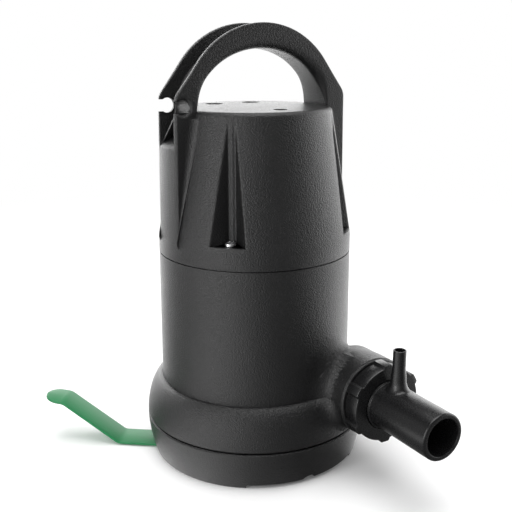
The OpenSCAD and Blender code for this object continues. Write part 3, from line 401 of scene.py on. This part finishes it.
cap_inner[..., 2] -= wall * np.clip((cap_inner[..., 2] - roof_wall_from) / roof_wall_over, 0, 1)
cap = skin("cap_shell", closed(np.concatenate([cap_sheet, cap_inner])), sharp=34)


def cutter(name, profile, centre):
    """A round tool at a centre, that a Boolean modifier takes away."""
    return skin(name, turned(profile, np.linspace(0, 2 * np.pi, 65)) + np.array(centre))


def take_away(piece, tools):
    """Cuts the tools out of the piece, one after the other, and deletes them."""
    for tool in tools:
        cut = piece.modifiers.new("cut", "BOOLEAN")
        cut.operation, cut.solver, cut.object = "DIFFERENCE", "EXACT", tool
    evaluated = piece.evaluated_get(bpy.context.evaluated_depsgraph_get())
    made = bpy.data.meshes.new_from_object(evaluated)
    piece.modifiers.clear()
    piece.data = made
    for tool in tools:
        bpy.data.objects.remove(tool)


def hole_profile(radius):
    """Outline of a hole's cutter, from below the roof to above it."""
    low, high = rim_z - 12, rim_z + 8
    return [[0, low], [radius, low], [radius, high], [0, high]]


roof_holes = [(7.2, -16.5, 34.5), (7.2, 16.5, 34.5), (5.2, 0, -38)]
take_away(cap, [cutter("roof_cut", hole_profile(radius), (x, y, 0)) for radius, x, y in roof_holes])
cap.data.set_sharp_from_angle(angle=np.radians(34))
cap.data.materials.append(black_plastic)
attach(cap, "pump")
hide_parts("top_housing")

# Carry handle
# A moulded arch over the cap that also takes the lifting rope. Outside it is an open channel between two
# flanges, inside it is well rounded for the hand. Its left leg has a notch to clip a cord into.
handle_y, flange_t, web_t = 16.2, 4, 4
grip_half, grip_z, grip_h = 55.4, 270.3, 47.4
leg_half, foot_z = 71.5, 168
leg_r, leg_taper = 75, 0.014
crown_r, crown_z, crown_tilt, shoulder_round = 67, 269, np.radians(54), 2.5
channel_floor_z, ramp_h = 262, 14
lip_round, foot_round, cove_most, cove_turn = 1.0, 1.4, 7.5, np.radians(20)
leg_round, grip_more, round_from, round_over, leg_face_to, across_step = 1.5, 5.5, 0.05, 0.5, 0.6, 4
root_sunk, foot_sunk, foot_sunk_to, foot_sunk_over = 0.15, 3, cap_band_z + 2.5, 9


def outer_reach(beta):
    """Distance from the arch's middle to its outside along a direction: the leg's face, then the slanted
    shoulder, eased into each other, and past the shoulder the crown's circle."""
    leg = leg_half / np.maximum(np.cos(beta), 1e-6)
    drop = crown_z - grip_z
    shoulder = (crown_r + drop * np.cos(crown_tilt)) / np.sin(beta + crown_tilt)
    crown = drop * np.sin(beta) + np.sqrt(crown_r ** 2 - (drop * np.cos(beta)) ** 2)
    turn_over = np.arctan2(crown_z + crown_r * np.cos(crown_tilt) - grip_z, crown_r * np.sin(crown_tilt))
    return np.where(beta < turn_over, smooth_least(leg, shoulder, shoulder_round), crown)


leg_z = np.concatenate([np.linspace(foot_z, 246, 28), np.linspace(247.5, grip_z, 28)])[:-1]
beta = np.linspace(0, np.pi / 2, 64)
inner_r_of = 1 / np.sqrt((np.cos(beta) / grip_half) ** 2 + (np.sin(beta) / grip_h) ** 2)
inner_x = np.concatenate([np.full(len(leg_z), grip_half), inner_r_of * np.cos(beta)])
inner_z = np.concatenate([leg_z, grip_z + inner_r_of * np.sin(beta)])
out_x = np.concatenate([np.ones(len(leg_z)), np.cos(beta)])
out_z = np.concatenate([np.zeros(len(leg_z)), np.sin(beta)])
depth = np.concatenate([np.full(len(leg_z), leg_half - grip_half), outer_reach(beta) - inner_r_of])
level = np.concatenate([leg_z, np.full(len(beta), grip_z)])
floor = web_t + (depth - web_t) * eased((channel_floor_z - level) / ramp_h)
turned_up = np.concatenate([np.zeros(len(leg_z)), beta])
grip_round = leg_round + grip_more * eased((turned_up - round_from) / round_over)
width = leg_half - np.sqrt(cone_r(leg_z) ** 2 - handle_y ** 2)
cove = np.concatenate([np.clip(width * 0.6, 0.05, cove_most) * (leg_z < rim_z - 1), np.zeros(len(beta))])
cove_y = handle_y + cove * (1 - np.sin(cove_turn))
root = np.sqrt(cone_r(np.minimum(level, rim_z)) ** 2 - cove_y ** 2) - grip_half
root = root + cove * np.cos(cove_turn) - root_sunk


def section(depth, floor, grip_round, root, cove):
    """Half of the handle's section at one station, from the middle of the grip round to the middle of the
    channel: an eased corner at the grip, a cove where the side leaves the cap's cone, and small arcs at the
    flange's lip."""
    corner = arc(1, 0, 1, 180, 90, 9)
    channel_y = handle_y - flange_t
    lip = min(lip_round, flange_t / 2 - 0.1)
    inner_lip = min(lip, max((depth - floor) / 2, 0.001))
    foot = min(foot_round, max((depth - floor - inner_lip) * 0.8, 0.001))
    share = np.linspace(0, 1, 5)[1:-1]
    start = root if cove > 0 else grip_round
    side_x = start + (depth - lip - start) * share
    bow = arc(start, handle_y + cove, cove, 180 + np.degrees(cove_turn), 270, 10)
    return np.concatenate([
        [[0, 0], [0, across_step]], corner * grip_round + [0, handle_y - grip_round],
        bow, np.stack([side_x, handle_y + 0 * side_x], axis=1),
        arc(depth - lip, handle_y - lip, lip, 90, 0, 5),
        arc(depth - inner_lip, channel_y + inner_lip, inner_lip, 0, -90, 5),
        arc(floor + foot, channel_y - foot, foot, 90, 180, 5),
        [[floor, 2 * across_step], [floor, across_step], [floor, 0]]])


halves = np.stack([section(*station) for station in zip(depth, floor, grip_round, root, cove)])
whole = np.concatenate([halves, halves[:, -2:0:-1] * [1, -1], halves[:, :1]], axis=1)
round_r = leg_r - leg_taper * np.clip(level - cap_band_z, 0, None)
round_r -= foot_sunk * eased((foot_sunk_to - level) / foot_sunk_over)
round_x = np.sqrt(round_r[:, None] ** 2 - np.minimum(np.abs(whole[..., 1]), handle_y) ** 2) - grip_half
swelled = round_x / (leg_half - grip_half) - 1
whole[..., 0] *= 1 + swelled * (1 - eased(turned_up / leg_face_to))[:, None]
arch = np.stack([inner_x[:, None] + whole[..., 0] * out_x[:, None], whole[..., 1],
                 inner_z[:, None] + whole[..., 0] * out_z[:, None]], axis=-1)
arch = np.concatenate([arch, (arch * [-1, 1, 1])[-2::-1]])
end_caps = [np.stack([end, end * [1, 0, 1]]) for end in (arch[0], arch[-1])]
handle = skin("carry_handle_arch", arch, *end_caps, sharp=50)
notch_x, notch_z, notch_run = -66, 278, 14


def middle_of(loop):
    """A row as long as a closed loop, whose points all lie at the loop's middle."""
    return 0 * loop + loop[:-1].mean(axis=0)


def notch_ring(radius, slot_half, across):
    """One ring of the notch's cutter: a circle whose outer side runs out through a level slot."""
    turn = np.degrees(np.arcsin(slot_half / radius))
    bow = arc(notch_x, notch_z, radius, 180 - turn, turn - 180, 41)
    slot_end = notch_x - notch_run
    loop = closed(np.concatenate([[[slot_end, notch_z - slot_half], [slot_end, notch_z + slot_half]], bow]))
    return np.stack([loop[:, 0], 0 * loop[:, 0] + across, loop[:, 1]], axis=1)


notch_steps = [(5.4, 4.3, 11.9), (5.4, 4.3, 14.2), (5.7, 4.45, 15.0), (6.3, 4.8, 15.7),
               (7.4, 5.4, 16.25), (7.4, 5.4, 22)]
cuts = []
for hand in (1, -1):
    rings = [notch_ring(r, slot_half, hand * across) for r, slot_half, across in notch_steps]
    cuts.append(skin("notch_cut", np.stack([middle_of(rings[0]), *rings, middle_of(rings[-1])])))
take_away(handle, cuts)
rib_half, rib_high, rib_low, rib_t, rib_out, rib_in = 12.6, 274.2, 251.2, 1.6, -70.9, -60
rib_top = closed(np.array([[rib_out, -rib_half, rib_high], [rib_in, -rib_half, rib_high],
                           [rib_in, rib_half, rib_low], [rib_out, rib_half, rib_low]]))
rib_sheet = np.stack([rib_top, rib_top - [0, 0, rib_t]])
handle_rib = skin("handle_rib", rib_sheet, *[np.stack([face, middle_of(face)]) for face in rib_sheet])
handle.data.set_sharp_from_angle(angle=np.radians(50))
for piece in (handle, handle_rib):
    piece.data.materials.append(black_plastic)
    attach(piece, "pump")
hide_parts("carry_handle")

# Base cover
# The black dish that closes the pump chamber from below. Its skirt stands on the floor, and is cut away low
# at the front to let the water in, with a notch to pry the strainer out, and at the back for the strap.
cover_z, skirt_in, skirt_share = 30, 5, 1.7
cut_half, cut_h, cut_side, skirt_chamfer, skirt_edge = 34.5, 2.75, 0.3, 0.5, 0.12
hub_in_r, hub_out_r, hub_top, dish_r, dish_z = 17, 20.5, 36.5, 80.5, 24
strap_angle, strap_aside, strap_slot_h, slot_from, slot_to = 143.5, 18, 4.5, 141.4, 171.3
front_cut = np.array([[-cut_half - cut_side, 0], [-cut_half, cut_h], [-4.6, cut_h], [-3.2, 4.9], [0.3, 5.3],
                      [0.5, 7.2], [0.9, 8.1], [1.4, 8.4], [1.9, 8.1], [2.25, 7.2], [2.3, cut_h],
                      [cut_half, cut_h], [cut_half + cut_side, 0]])
slot_cut = np.array([[slot_from, 0], [slot_from + cut_side, strap_slot_h],
                     [slot_to - cut_side, strap_slot_h], [slot_to, 0]])
angles = np.radians(np.unique(np.concatenate([
    np.arange(-90, 271, 2.0), front_cut[:, 0] - 90, np.linspace(-5, 3, 33) - 90, slot_cut[:, 0],
    [-90.0 - cut_half - 1, -90.0 + cut_half + 1]])))
from_front = np.degrees((angles + np.pi / 2 + np.pi) % (2 * np.pi) - np.pi)
foot = np.maximum(np.interp(from_front, front_cut[:, 0], front_cut[:, 1]),
                  np.interp(np.degrees(angles) % 360, slot_cut[:, 0], slot_cut[:, 1]))


def skirt_r(height):
    return bulge_r - skirt_in * np.clip(1 - height / (cover_z - 1), 0, 1) ** skirt_share


rise = np.concatenate([[0.0], np.linspace(0.02, 1, 16)])
skirt = [(skirt_r(foot) - skirt_chamfer, foot), (skirt_r(foot) - skirt_edge, foot + skirt_edge)]
heights = [foot + skirt_chamfer + (cover_z - 1 - skirt_chamfer - foot) * part for part in rise]
skirt += [(skirt_r(height), height) for height in heights]
skirt += [(bulge_r - groove, cover_z), (hub_out_r, cover_z), (hub_out_r, hub_top), (hub_in_r, hub_top),
          (hub_in_r, dish_z), (dish_r, dish_z), (dish_r, foot)]
skirt_sheet = closed(np.stack([ring(radius, height, angles) for radius, height in skirt]))
cover = skin("base_dish", skirt_sheet, sharp=34)
cover.data.materials.append(black_plastic)
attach(cover, "pump")
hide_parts("base_cover")

# Union nut
# The black ring that is screwed onto the neck by hand and clamps the nozzle's flange. Six lugs give the
# fingers hold, and all of its edges are chamfered.
nut_back, nut_len, nut_r, lug_out = neck_reach + 0.8, 13.5, 28.7, 2.2
lug_root, lug_tip, nut_chamfer = 9.2, 6.4, 0.9
angles = np.radians(np.linspace(0, 360, 361))
off_lug = np.abs((np.degrees(angles) - 90 + 30) % 60 - 30)
lug = lug_out * np.clip((lug_root - off_lug) / (lug_root - lug_tip), 0, 1)
hub_r, nut_bore_r, nut_front_t, nut_edge, hub_edge = 18.9, 24.8, 2.6, 0.3, 0.5
rim = nut_r + lug
nut_steps = [(nut_bore_r, 0), (nut_r - nut_chamfer, 0), (rim - nut_chamfer, 0), (rim - nut_edge, nut_edge),
             (rim, nut_chamfer), (rim, nut_len - nut_chamfer), (rim - nut_edge, nut_len - nut_edge),
             (rim - nut_chamfer, nut_len), (nut_r - nut_chamfer - 0.4, nut_len), (hub_r + hub_edge, nut_len),
             (hub_r, nut_len - hub_edge), (hub_r, nut_len - nut_front_t), (nut_bore_r, nut_len - nut_front_t)]
nut_sheet = closed(np.stack([ring(radius, height, angles) for radius, height in nut_steps]))
nut = skin("union_nut_ring", at_outlet(nut_sheet + [0, 0, nut_back]), sharp=28)
satin_black = moulded("satin black fitting", (0.0045, 0.0045, 0.0047), (0.0075, 0.0075, 0.008),
                      gloss=0.27, grain_scale=1500.0, grain_depth=0.0001)
nut.data.materials.append(satin_black)
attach(nut, "nut")
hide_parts("union_nut")

# Venturi nozzle
# The black tube that throws the stream. A flange under the nut holds it, and an upright nipple on top lets
# air into the stream; the nipple flares smoothly into the tube, and the tube's mouth is rounded.
flange_back, flange_front, flange_r = 107.4, 109.4, 24.4
nut_front = nut_back + nut_len
tube_r, tube_bore_r, tube_end, tube_edge = 17.5, 13.9, nut_front + 59.2, 1.7
nipple_y, nipple_top, nipple_r, nipple_bore_r = nut_front + 11.2, outlet_z + 47, 4.8, 3.9
hub_step, hub_round, root_round, mouth_round = 18.6, 0.4, 0.6, 0.5
swell_to, taper_to, tube_swell = 8, 22, 0.25
tube = closed(np.concatenate([
    [[tube_bore_r, flange_back], [flange_r, flange_back], [flange_r, flange_front], [hub_step, flange_front]],
    arc(hub_step - hub_round, nut_front + 0.6, hub_round, 0, 90, 4),
    arc(tube_r + 0.9, nut_front + 1.6, root_round, 270, 180, 4),
    [[tube_r + tube_swell, nut_front + swell_to], [tube_r, nut_front + taper_to]],
    arc(tube_r - tube_edge, tube_end - tube_edge, tube_edge, 0, 90, 9),
    arc(tube_bore_r + mouth_round, tube_end - mouth_round, mouth_round, 90, 180, 5)]))
tube_sheet = at_outlet(turned(tube, np.linspace(0, 2 * np.pi, 121)))
flare_r, flare_h, root_r = 10.5, 9.5, 5.5
round_nipple = np.linspace(0, 2 * np.pi, 73)


def flare(share):
    """Height of the nipple's foot over the tube, by the share of the way in: a steep quarter curve."""
    return flare_h * (1 - (1 - share ** 2.2) ** 0.45)


nipple_rows, root_sink, start_share = [], 0.5, -0.08
for share in np.linspace(start_share, 1, 22):
    spread = flare_r + (root_r - flare_r) * share
    crown = np.sqrt(tube_r ** 2 - (spread * np.cos(round_nipple)) ** 2)
    lift = flare(max(share, 0)) - (root_sink if share < 0 else 0)
    nipple_rows.append(ring(spread, crown + lift, round_nipple) + [outlet_x, -nipple_y, outlet_z])
stem_z = outlet_z + np.sqrt(tube_r ** 2 - root_r ** 2) + flare_h
bore_floor = outlet_z + tube_bore_r + 0.5
stem = np.concatenate([[[root_r - 0.1, stem_z + 2], [nipple_r, nipple_top - 14],
                        [nipple_r, nipple_top - 0.5]],
                       arc(nipple_r - hub_round, nipple_top - hub_round, hub_round, 0, 90, 4),
                       [[nipple_bore_r, nipple_top], [nipple_bore_r, bore_floor], [0, bore_floor]]])
nipple_sheet = np.concatenate([np.stack(nipple_rows), turned(stem, round_nipple) + [outlet_x, -nipple_y, 0]])
nozzle = skin("venturi_tube", tube_sheet, nipple_sheet, sharp=35)
nozzle.data.materials.append(satin_black)
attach(nozzle, "nozzle")
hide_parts("venturi_nozzle")

# Stabiliser strap
# One strip of steel with a glossy green coat, screwed under the base at the back left. It lies flat on the
# floor, then bends up and levels out again at its round tip.
strap_w, strap_t, strap_lift, bend_r, slope = 24, 2, 1, 9, np.radians(36)
flat_to, strap_rise, top_len, tip_lift, plate_w, plate_from, taper = 108, 33.5, 1.5, 2.2, 40, 46, 5
bend_run = bend_r * np.tan(slope / 2)
rise_run = strap_rise / np.tan(slope)
first_bend = np.linspace(0, slope, 9)
second_bend = first_bend[::-1]
top_at = flat_to + 2 * bend_run + rise_run
lower = np.concatenate([
    np.stack([np.linspace(plate_from, flat_to - 2, 40), np.zeros(40)], axis=1),
    np.stack([flat_to + bend_r * np.sin(first_bend), bend_r * (1 - np.cos(first_bend))], axis=1),
    np.stack([top_at - bend_r * np.sin(second_bend),
              strap_rise - bend_r * (1 - np.cos(second_bend))], axis=1),
    np.stack([top_at + np.linspace(0.4, top_len + strap_w / 2, 26),
              strap_rise + tip_lift * np.linspace(0.03, 1, 26)], axis=1)])
heading = np.gradient(lower, axis=0)
heading /= np.linalg.norm(heading, axis=1, keepdims=True)
tip = lower[-1, 0] - strap_w / 2
foot_r = bulge_r - skirt_in
leave_at = np.sqrt(foot_r ** 2 - strap_aside ** 2) - taper / 2
half_w = np.interp(lower[:, 0], [leave_at, leave_at + taper], [plate_w / 2, strap_w / 2])
round_half = np.clip((strap_w / 2) ** 2 - np.clip(lower[:, 0] - tip, 0, None) ** 2, 0.04, None)
half_w = np.minimum(half_w, np.sqrt(round_half))
edge = 0.55
around_strip = np.concatenate([arc(0, edge, edge, -90, 0, 4), arc(0, strap_t - edge, edge, 0, 90, 4)])
right_side = np.stack([around_strip[:, 0] - edge, around_strip[:, 1]], axis=1)


def strip_section(half):
    """The strap's section: its half width plus a small round edge on each side, closed."""
    right = right_side + [max(half, edge), 0]
    return closed(np.concatenate([[[0, 0]], right, [[0, strap_t]], right[::-1] * [-1, 1]]))


loops = np.stack([strip_section(half) for half in half_w])
run = lower[:, None, 0] - heading[:, None, 1] * loops[..., 1]
up = lower[:, None, 1] + heading[:, None, 0] * loops[..., 1] + strap_lift
aside = loops[..., 0] + strap_aside
turn = np.radians(strap_angle)
strap_sheet = np.stack([run * np.cos(turn) - aside * np.sin(turn),
                        run * np.sin(turn) + aside * np.cos(turn), up], axis=-1)
strap_ends = [np.stack([end, middle_of(end)]) for end in (strap_sheet[0], strap_sheet[-1])]
strap = skin("green_strap", strap_sheet, *strap_ends, sharp=50)
green_coat, start, place, shader = finish("green powder coat", IOR=1.5)
peel = noise(start, place, 420.0, 2.0)
drift = noise(start, place, 30.0, 3.0)
feed(start, shader, Base_Color=blend(start, drift, (0.002, 0.15, 0.044), (0.004, 0.21, 0.064)),
     Roughness=drift * 0.1 + 0.36,
     Normal=start.node("ShaderNodeBump", {"Strength": 0.35, "Distance": 0.00012, "Height": peel}))
strap.data.materials.append(green_coat)
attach(strap, "pump")
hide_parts("stabiliser_strap")

# Screws of the cap
# Four bright steel pan-head screws with a cross recess, one on the floor of each well. Their plain shanks go
# down through the floor.
head_r, head_h, head_crown, head_side, shank_r, shank_len, screw_ring_r = 4.3, 2.8, 0.9, 1.5, 2, 20, 66
cross_half, cross_arm, cross_deep, cross_draft = 0.55, 2.5, 1.5, 0.22
screw_at = screw_ring_r * np.cos(np.pi / 4)
head_angles = np.radians(np.linspace(0, 360, 97))
head_part = np.concatenate([np.linspace(0, 0.62, 26), np.linspace(0.62, 0.97, 8)[1:]])
reach = head_r * head_part[:, None] + 0 * head_angles
crown = head_h - head_crown * head_part[:, None] ** 3 + 0 * head_angles
x, y = reach * np.cos(head_angles), reach * np.sin(head_angles)
arm = np.minimum(np.maximum(np.abs(x) - cross_half, np.abs(y) - cross_arm),
                 np.maximum(np.abs(y) - cross_half, np.abs(x) - cross_arm))
crown = crown - cross_deep * np.clip(0.5 - arm / cross_draft, 0, 1)
top_sheet = np.stack([x, y, crown], axis=-1)
side_profile = [[head_r, head_side], [head_r, 0.2], [shank_r, 0], [shank_r, -shank_len], [0, -shank_len]]
side_sheet = np.concatenate([top_sheet[-1:], turned(side_profile, head_angles)])
spots = [np.array([sx * screw_at, sy * screw_at, well_floor_z]) for sx in (1, -1) for sy in (1, -1)]
sheets = [sheet + spot for spot in spots for sheet in (top_sheet, side_sheet)]
screws = skin("cap_screw_heads", *sheets, sharp=30)
bright_steel, start, place, shader = finish("bright screw steel", Metallic=1.0)
scratch = noise(start, place, 1800.0, 3.0)
feed(start, shader, Base_Color=blend(start, scratch, (0.62, 0.62, 0.63), (0.78, 0.78, 0.79)),
     Roughness=scratch * 0.14 + 0.16,
     Normal=start.node("ShaderNodeBump", {"Strength": 0.2, "Distance": 0.00002, "Height": scratch}))
screws.data.materials.append(bright_steel)
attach(screws, "pump")
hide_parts("cap_screws")

# Pieces held inside and below
# The intake strainer, the seals, the motor, its bearings and the gland keep the shapes of the frame. Each
# gets the finish of what it is made of: drawn steel, cast alloy, copper, rubber, ceramic or plastic.


def worked(name, low, high, gloss, scale, depth, stretch=(1, 1, 1), **constants):
    """A plain worked surface: noise, drawn out along one direction, gives its tone, gloss and marks."""
    material, start, place, shader = finish(name, **constants)
    place = start.node("ShaderNodeMapping", {"Vector": place, "Scale": stretch})
    marks = noise(start, place, scale, 3.0)
    drift = noise(start, place, scale * 0.05, 2.0)
    feed(start, shader, Base_Color=blend(start, drift, low, high), Roughness=marks * 0.15 + (gloss - 0.07),
         Normal=start.node("ShaderNodeBump", {"Strength": 0.4, "Distance": depth, "Height": marks}))
    return material


finishes = {
    "black_fitting": satin_black,
    "screw_steel": bright_steel,
    "can_steel": worked("drawn stainless steel", (0.5, 0.5, 0.51), (0.6, 0.6, 0.61),
                        0.3, 900.0, 2e-5, (1, 1, 0.06), Metallic=1.0),
    "shaft_steel": worked("ground shaft steel", (0.5, 0.51, 0.52), (0.62, 0.62, 0.63),
                          0.2, 2000.0, 5e-6, (1, 1, 12), Metallic=1.0),
    "seal_rubber": worked("seal rubber", (0.012, 0.012, 0.012), (0.025, 0.025, 0.025),
                          0.65, 1200.0, 4e-5),
    "cast_alloy": worked("cast alloy", (0.38, 0.38, 0.39), (0.5, 0.5, 0.51),
                         0.45, 1000.0, 8e-5, Metallic=1.0),
    "core_steel": worked("stacked core steel", (0.2, 0.2, 0.21), (0.32, 0.32, 0.33),
                         0.45, 500.0, 5e-5, (0.1, 0.1, 8), Metallic=1.0),
    "copper_wire": worked("enamelled copper", (0.45, 0.13, 0.04), (0.6, 0.22, 0.08),
                          0.3, 800.0, 1e-4, Metallic=0.8),
    "brass_turned": worked("turned brass", (0.6, 0.42, 0.14), (0.72, 0.53, 0.2),
                           0.25, 1500.0, 1e-5, Metallic=1.0),
    "jet_plastic": worked("white jet plastic", (0.5, 0.5, 0.5), (0.6, 0.6, 0.6),
                          0.4, 900.0, 3e-5),
    "seat_ceramic": worked("seat ceramic", (0.65, 0.64, 0.6), (0.75, 0.74, 0.7),
                           0.25, 2000.0, 5e-6),
    "black_housing": black_plastic,
    "green_strap": green_coat,
}
for part in frame["record"]["subparts"]:
    node = frame["nodes"].get(part["node"])
    if node:
        node.data.materials.clear()
        node.data.materials.append(finishes[part["material_slot"]])

# Studio
# A white floor and a white background, with soft panels above, behind, at the front left and on both sides.
# In gloss the studio has a tone of its own in each direction, so that the black plastic shows its form.
floor_half = 6000
floor_sheet = np.array([[[-floor_half, -floor_half, 0], [floor_half, -floor_half, 0]],
                        [[-floor_half, floor_half, 0], [floor_half, floor_half, 0]]], float)
ground = skin("studio_floor", floor_sheet)
floor_lift, ambient, overhead_tone, brightest = 0.02, 0.7, 0.12, 10.0
near_floor, far_floor, low_sky, high_sky = 0.45, 1.1, 0.3, 0.75
thrown_back = [1.7, 2.3, 1.1, 0.2, 1.6, 1.6, 0.5, 0.15, 0.2, 1.6, 2.4, 1.6]


def along_axis(start, place, axis):
    """How far a place lies along an axis."""
    return start.node("ShaderNodeVectorMath", {0: place, 1: axis}, {"operation": "DOT_PRODUCT"}, out=1)


def studio_glow(start, place):
    """How bright the studio looks in gloss, by bearing: the angle of a place round the object, from the
    camera's side, picks a tone from a ring of twelve, which starts at the back and goes round by the left.
    Tones are kept as shares of the brightest."""
    toward = along_axis(start, place, (np.sin(round_angle), -np.cos(round_angle), 0))
    aside = along_axis(start, place, (np.cos(round_angle), np.sin(round_angle), 0))
    share = aside.maths("ARCTAN2", aside, toward) * (0.5 / np.pi) + 0.5
    tones = thrown_back + thrown_back[:1]
    stops = [(k / len(thrown_back), (tone / brightest,) * 3) for k, tone in enumerate(tones)]
    return start.node("ShaderNodeValToRGB", {0: share}, {"stops": stops})


white_floor, start, place, shader = finish("white studio floor", Roughness=0.9, Specular_IOR_Level=0.0)
ray = start.node("ShaderNodeLightPath", {}, out=0)
glossy = start.node("ShaderNodeLightPath", {}, out=3)
mottle = noise(start, place, 3.0)
feed(start, shader, Base_Color=blend(start, mottle, (0.88, 0.88, 0.88), (0.9, 0.9, 0.9)))
away = start.node("ShaderNodeVectorMath", {0: place}, {"operation": "LENGTH"}, out=1)
far = start.node("ShaderNodeMapRange", {0: away, 1: near_floor, 2: far_floor},
                 {"interpolation_type": "SMOOTHSTEP"})
lift = start.node("ShaderNodeEmission", {"Color": (1, 1, 1, 1), "Strength": ray * floor_lift})
near_look = start.node("ShaderNodeAddShader", {0: Wire(start.tree, shader.outputs[0]), 1: lift})
white = start.node("ShaderNodeEmission", {"Color": (1, 1, 1, 1), "Strength": 1.0})
look = start.node("ShaderNodeMixShader", {0: far * ray, 1: near_look, 2: white})
in_gloss = start.node("ShaderNodeEmission", {"Color": studio_glow(start, place), "Strength": brightest})
look = start.node("ShaderNodeMixShader", {0: glossy, 1: look, 2: in_gloss})
start.tree.links.new(look.socket, start.tree.nodes["Material Output"].inputs[0])
ground.data.materials.append(white_floor)

world = bpy.data.worlds.new("studio")
bpy.context.scene.world = world
world.use_nodes = True
sky = Wire(world.node_tree)
seen, glossy = sky.node("ShaderNodeLightPath", {}, out=0), sky.node("ShaderNodeLightPath", {}, out=3)
facing = sky.node("ShaderNodeTexCoord", {}, out=0)
backdrop = world.node_tree.nodes["Background"]
upward = along_axis(sky, facing, (0, 0, 1))
overhead = sky.node("ShaderNodeMapRange", {0: upward, 1: low_sky, 2: high_sky},
                    {"interpolation_type": "SMOOTHSTEP"})
ringed = blend(sky, overhead, studio_glow(sky, facing), (overhead_tone / brightest,) * 3)
in_gloss = blend(sky, glossy, (ambient / brightest,) * 3, ringed)
shown = blend(sky, seen, in_gloss, (1 / brightest,) * 3)
world.node_tree.links.new(shown.socket, backdrop.inputs["Color"])
backdrop.inputs["Strength"].default_value = brightest


def panel(name, bearing, elevation, distance, width, height, glow):
    """A soft panel that faces the object. Its bearing is counted from the camera's side, to the right; its
    glow is its radiance, so that its power is glow times pi times its area."""
    lamp = bpy.data.lights.new(name, "AREA")
    lamp.shape, lamp.size, lamp.size_y = "RECTANGLE", width, height
    lamp.energy = glow * np.pi * width * height
    spot = bpy.data.objects.new(name, lamp)
    angle, aim_height = np.radians(bearing) - np.pi / 2 + round_angle, 0.15
    rise = np.radians(elevation)
    outward = np.array([np.cos(angle) * np.cos(rise), np.sin(angle) * np.cos(rise), np.sin(rise)])
    across = np.array([-np.sin(angle), np.cos(angle), 0])
    frame_axes = np.stack([across, np.cross(outward, across), outward], axis=1)
    place = outward * distance + [0, 0, aim_height]
    spot.matrix_world = Matrix.Translation(place.tolist()) @ Matrix(frame_axes.tolist()).to_4x4()
    spot.visible_camera = False
    bpy.context.scene.collection.objects.link(spot)


panel("top_panel", 0, 88, 1.3, 1.3, 1.3, 3.6)
panel("back_panel", 180, 14, 1.8, 2.6, 0.9, 1.0)
panel("front_panel", -48, 8, 1.3, 0.35, 1.0, 5.0)
panel("left_rim", -140, 12, 1.4, 0.8, 0.8, 2.0)
panel("right_rim", 120, 12, 1.4, 0.8, 0.8, 0.9)
bpy.context.scene.view_settings.view_transform = "Standard"
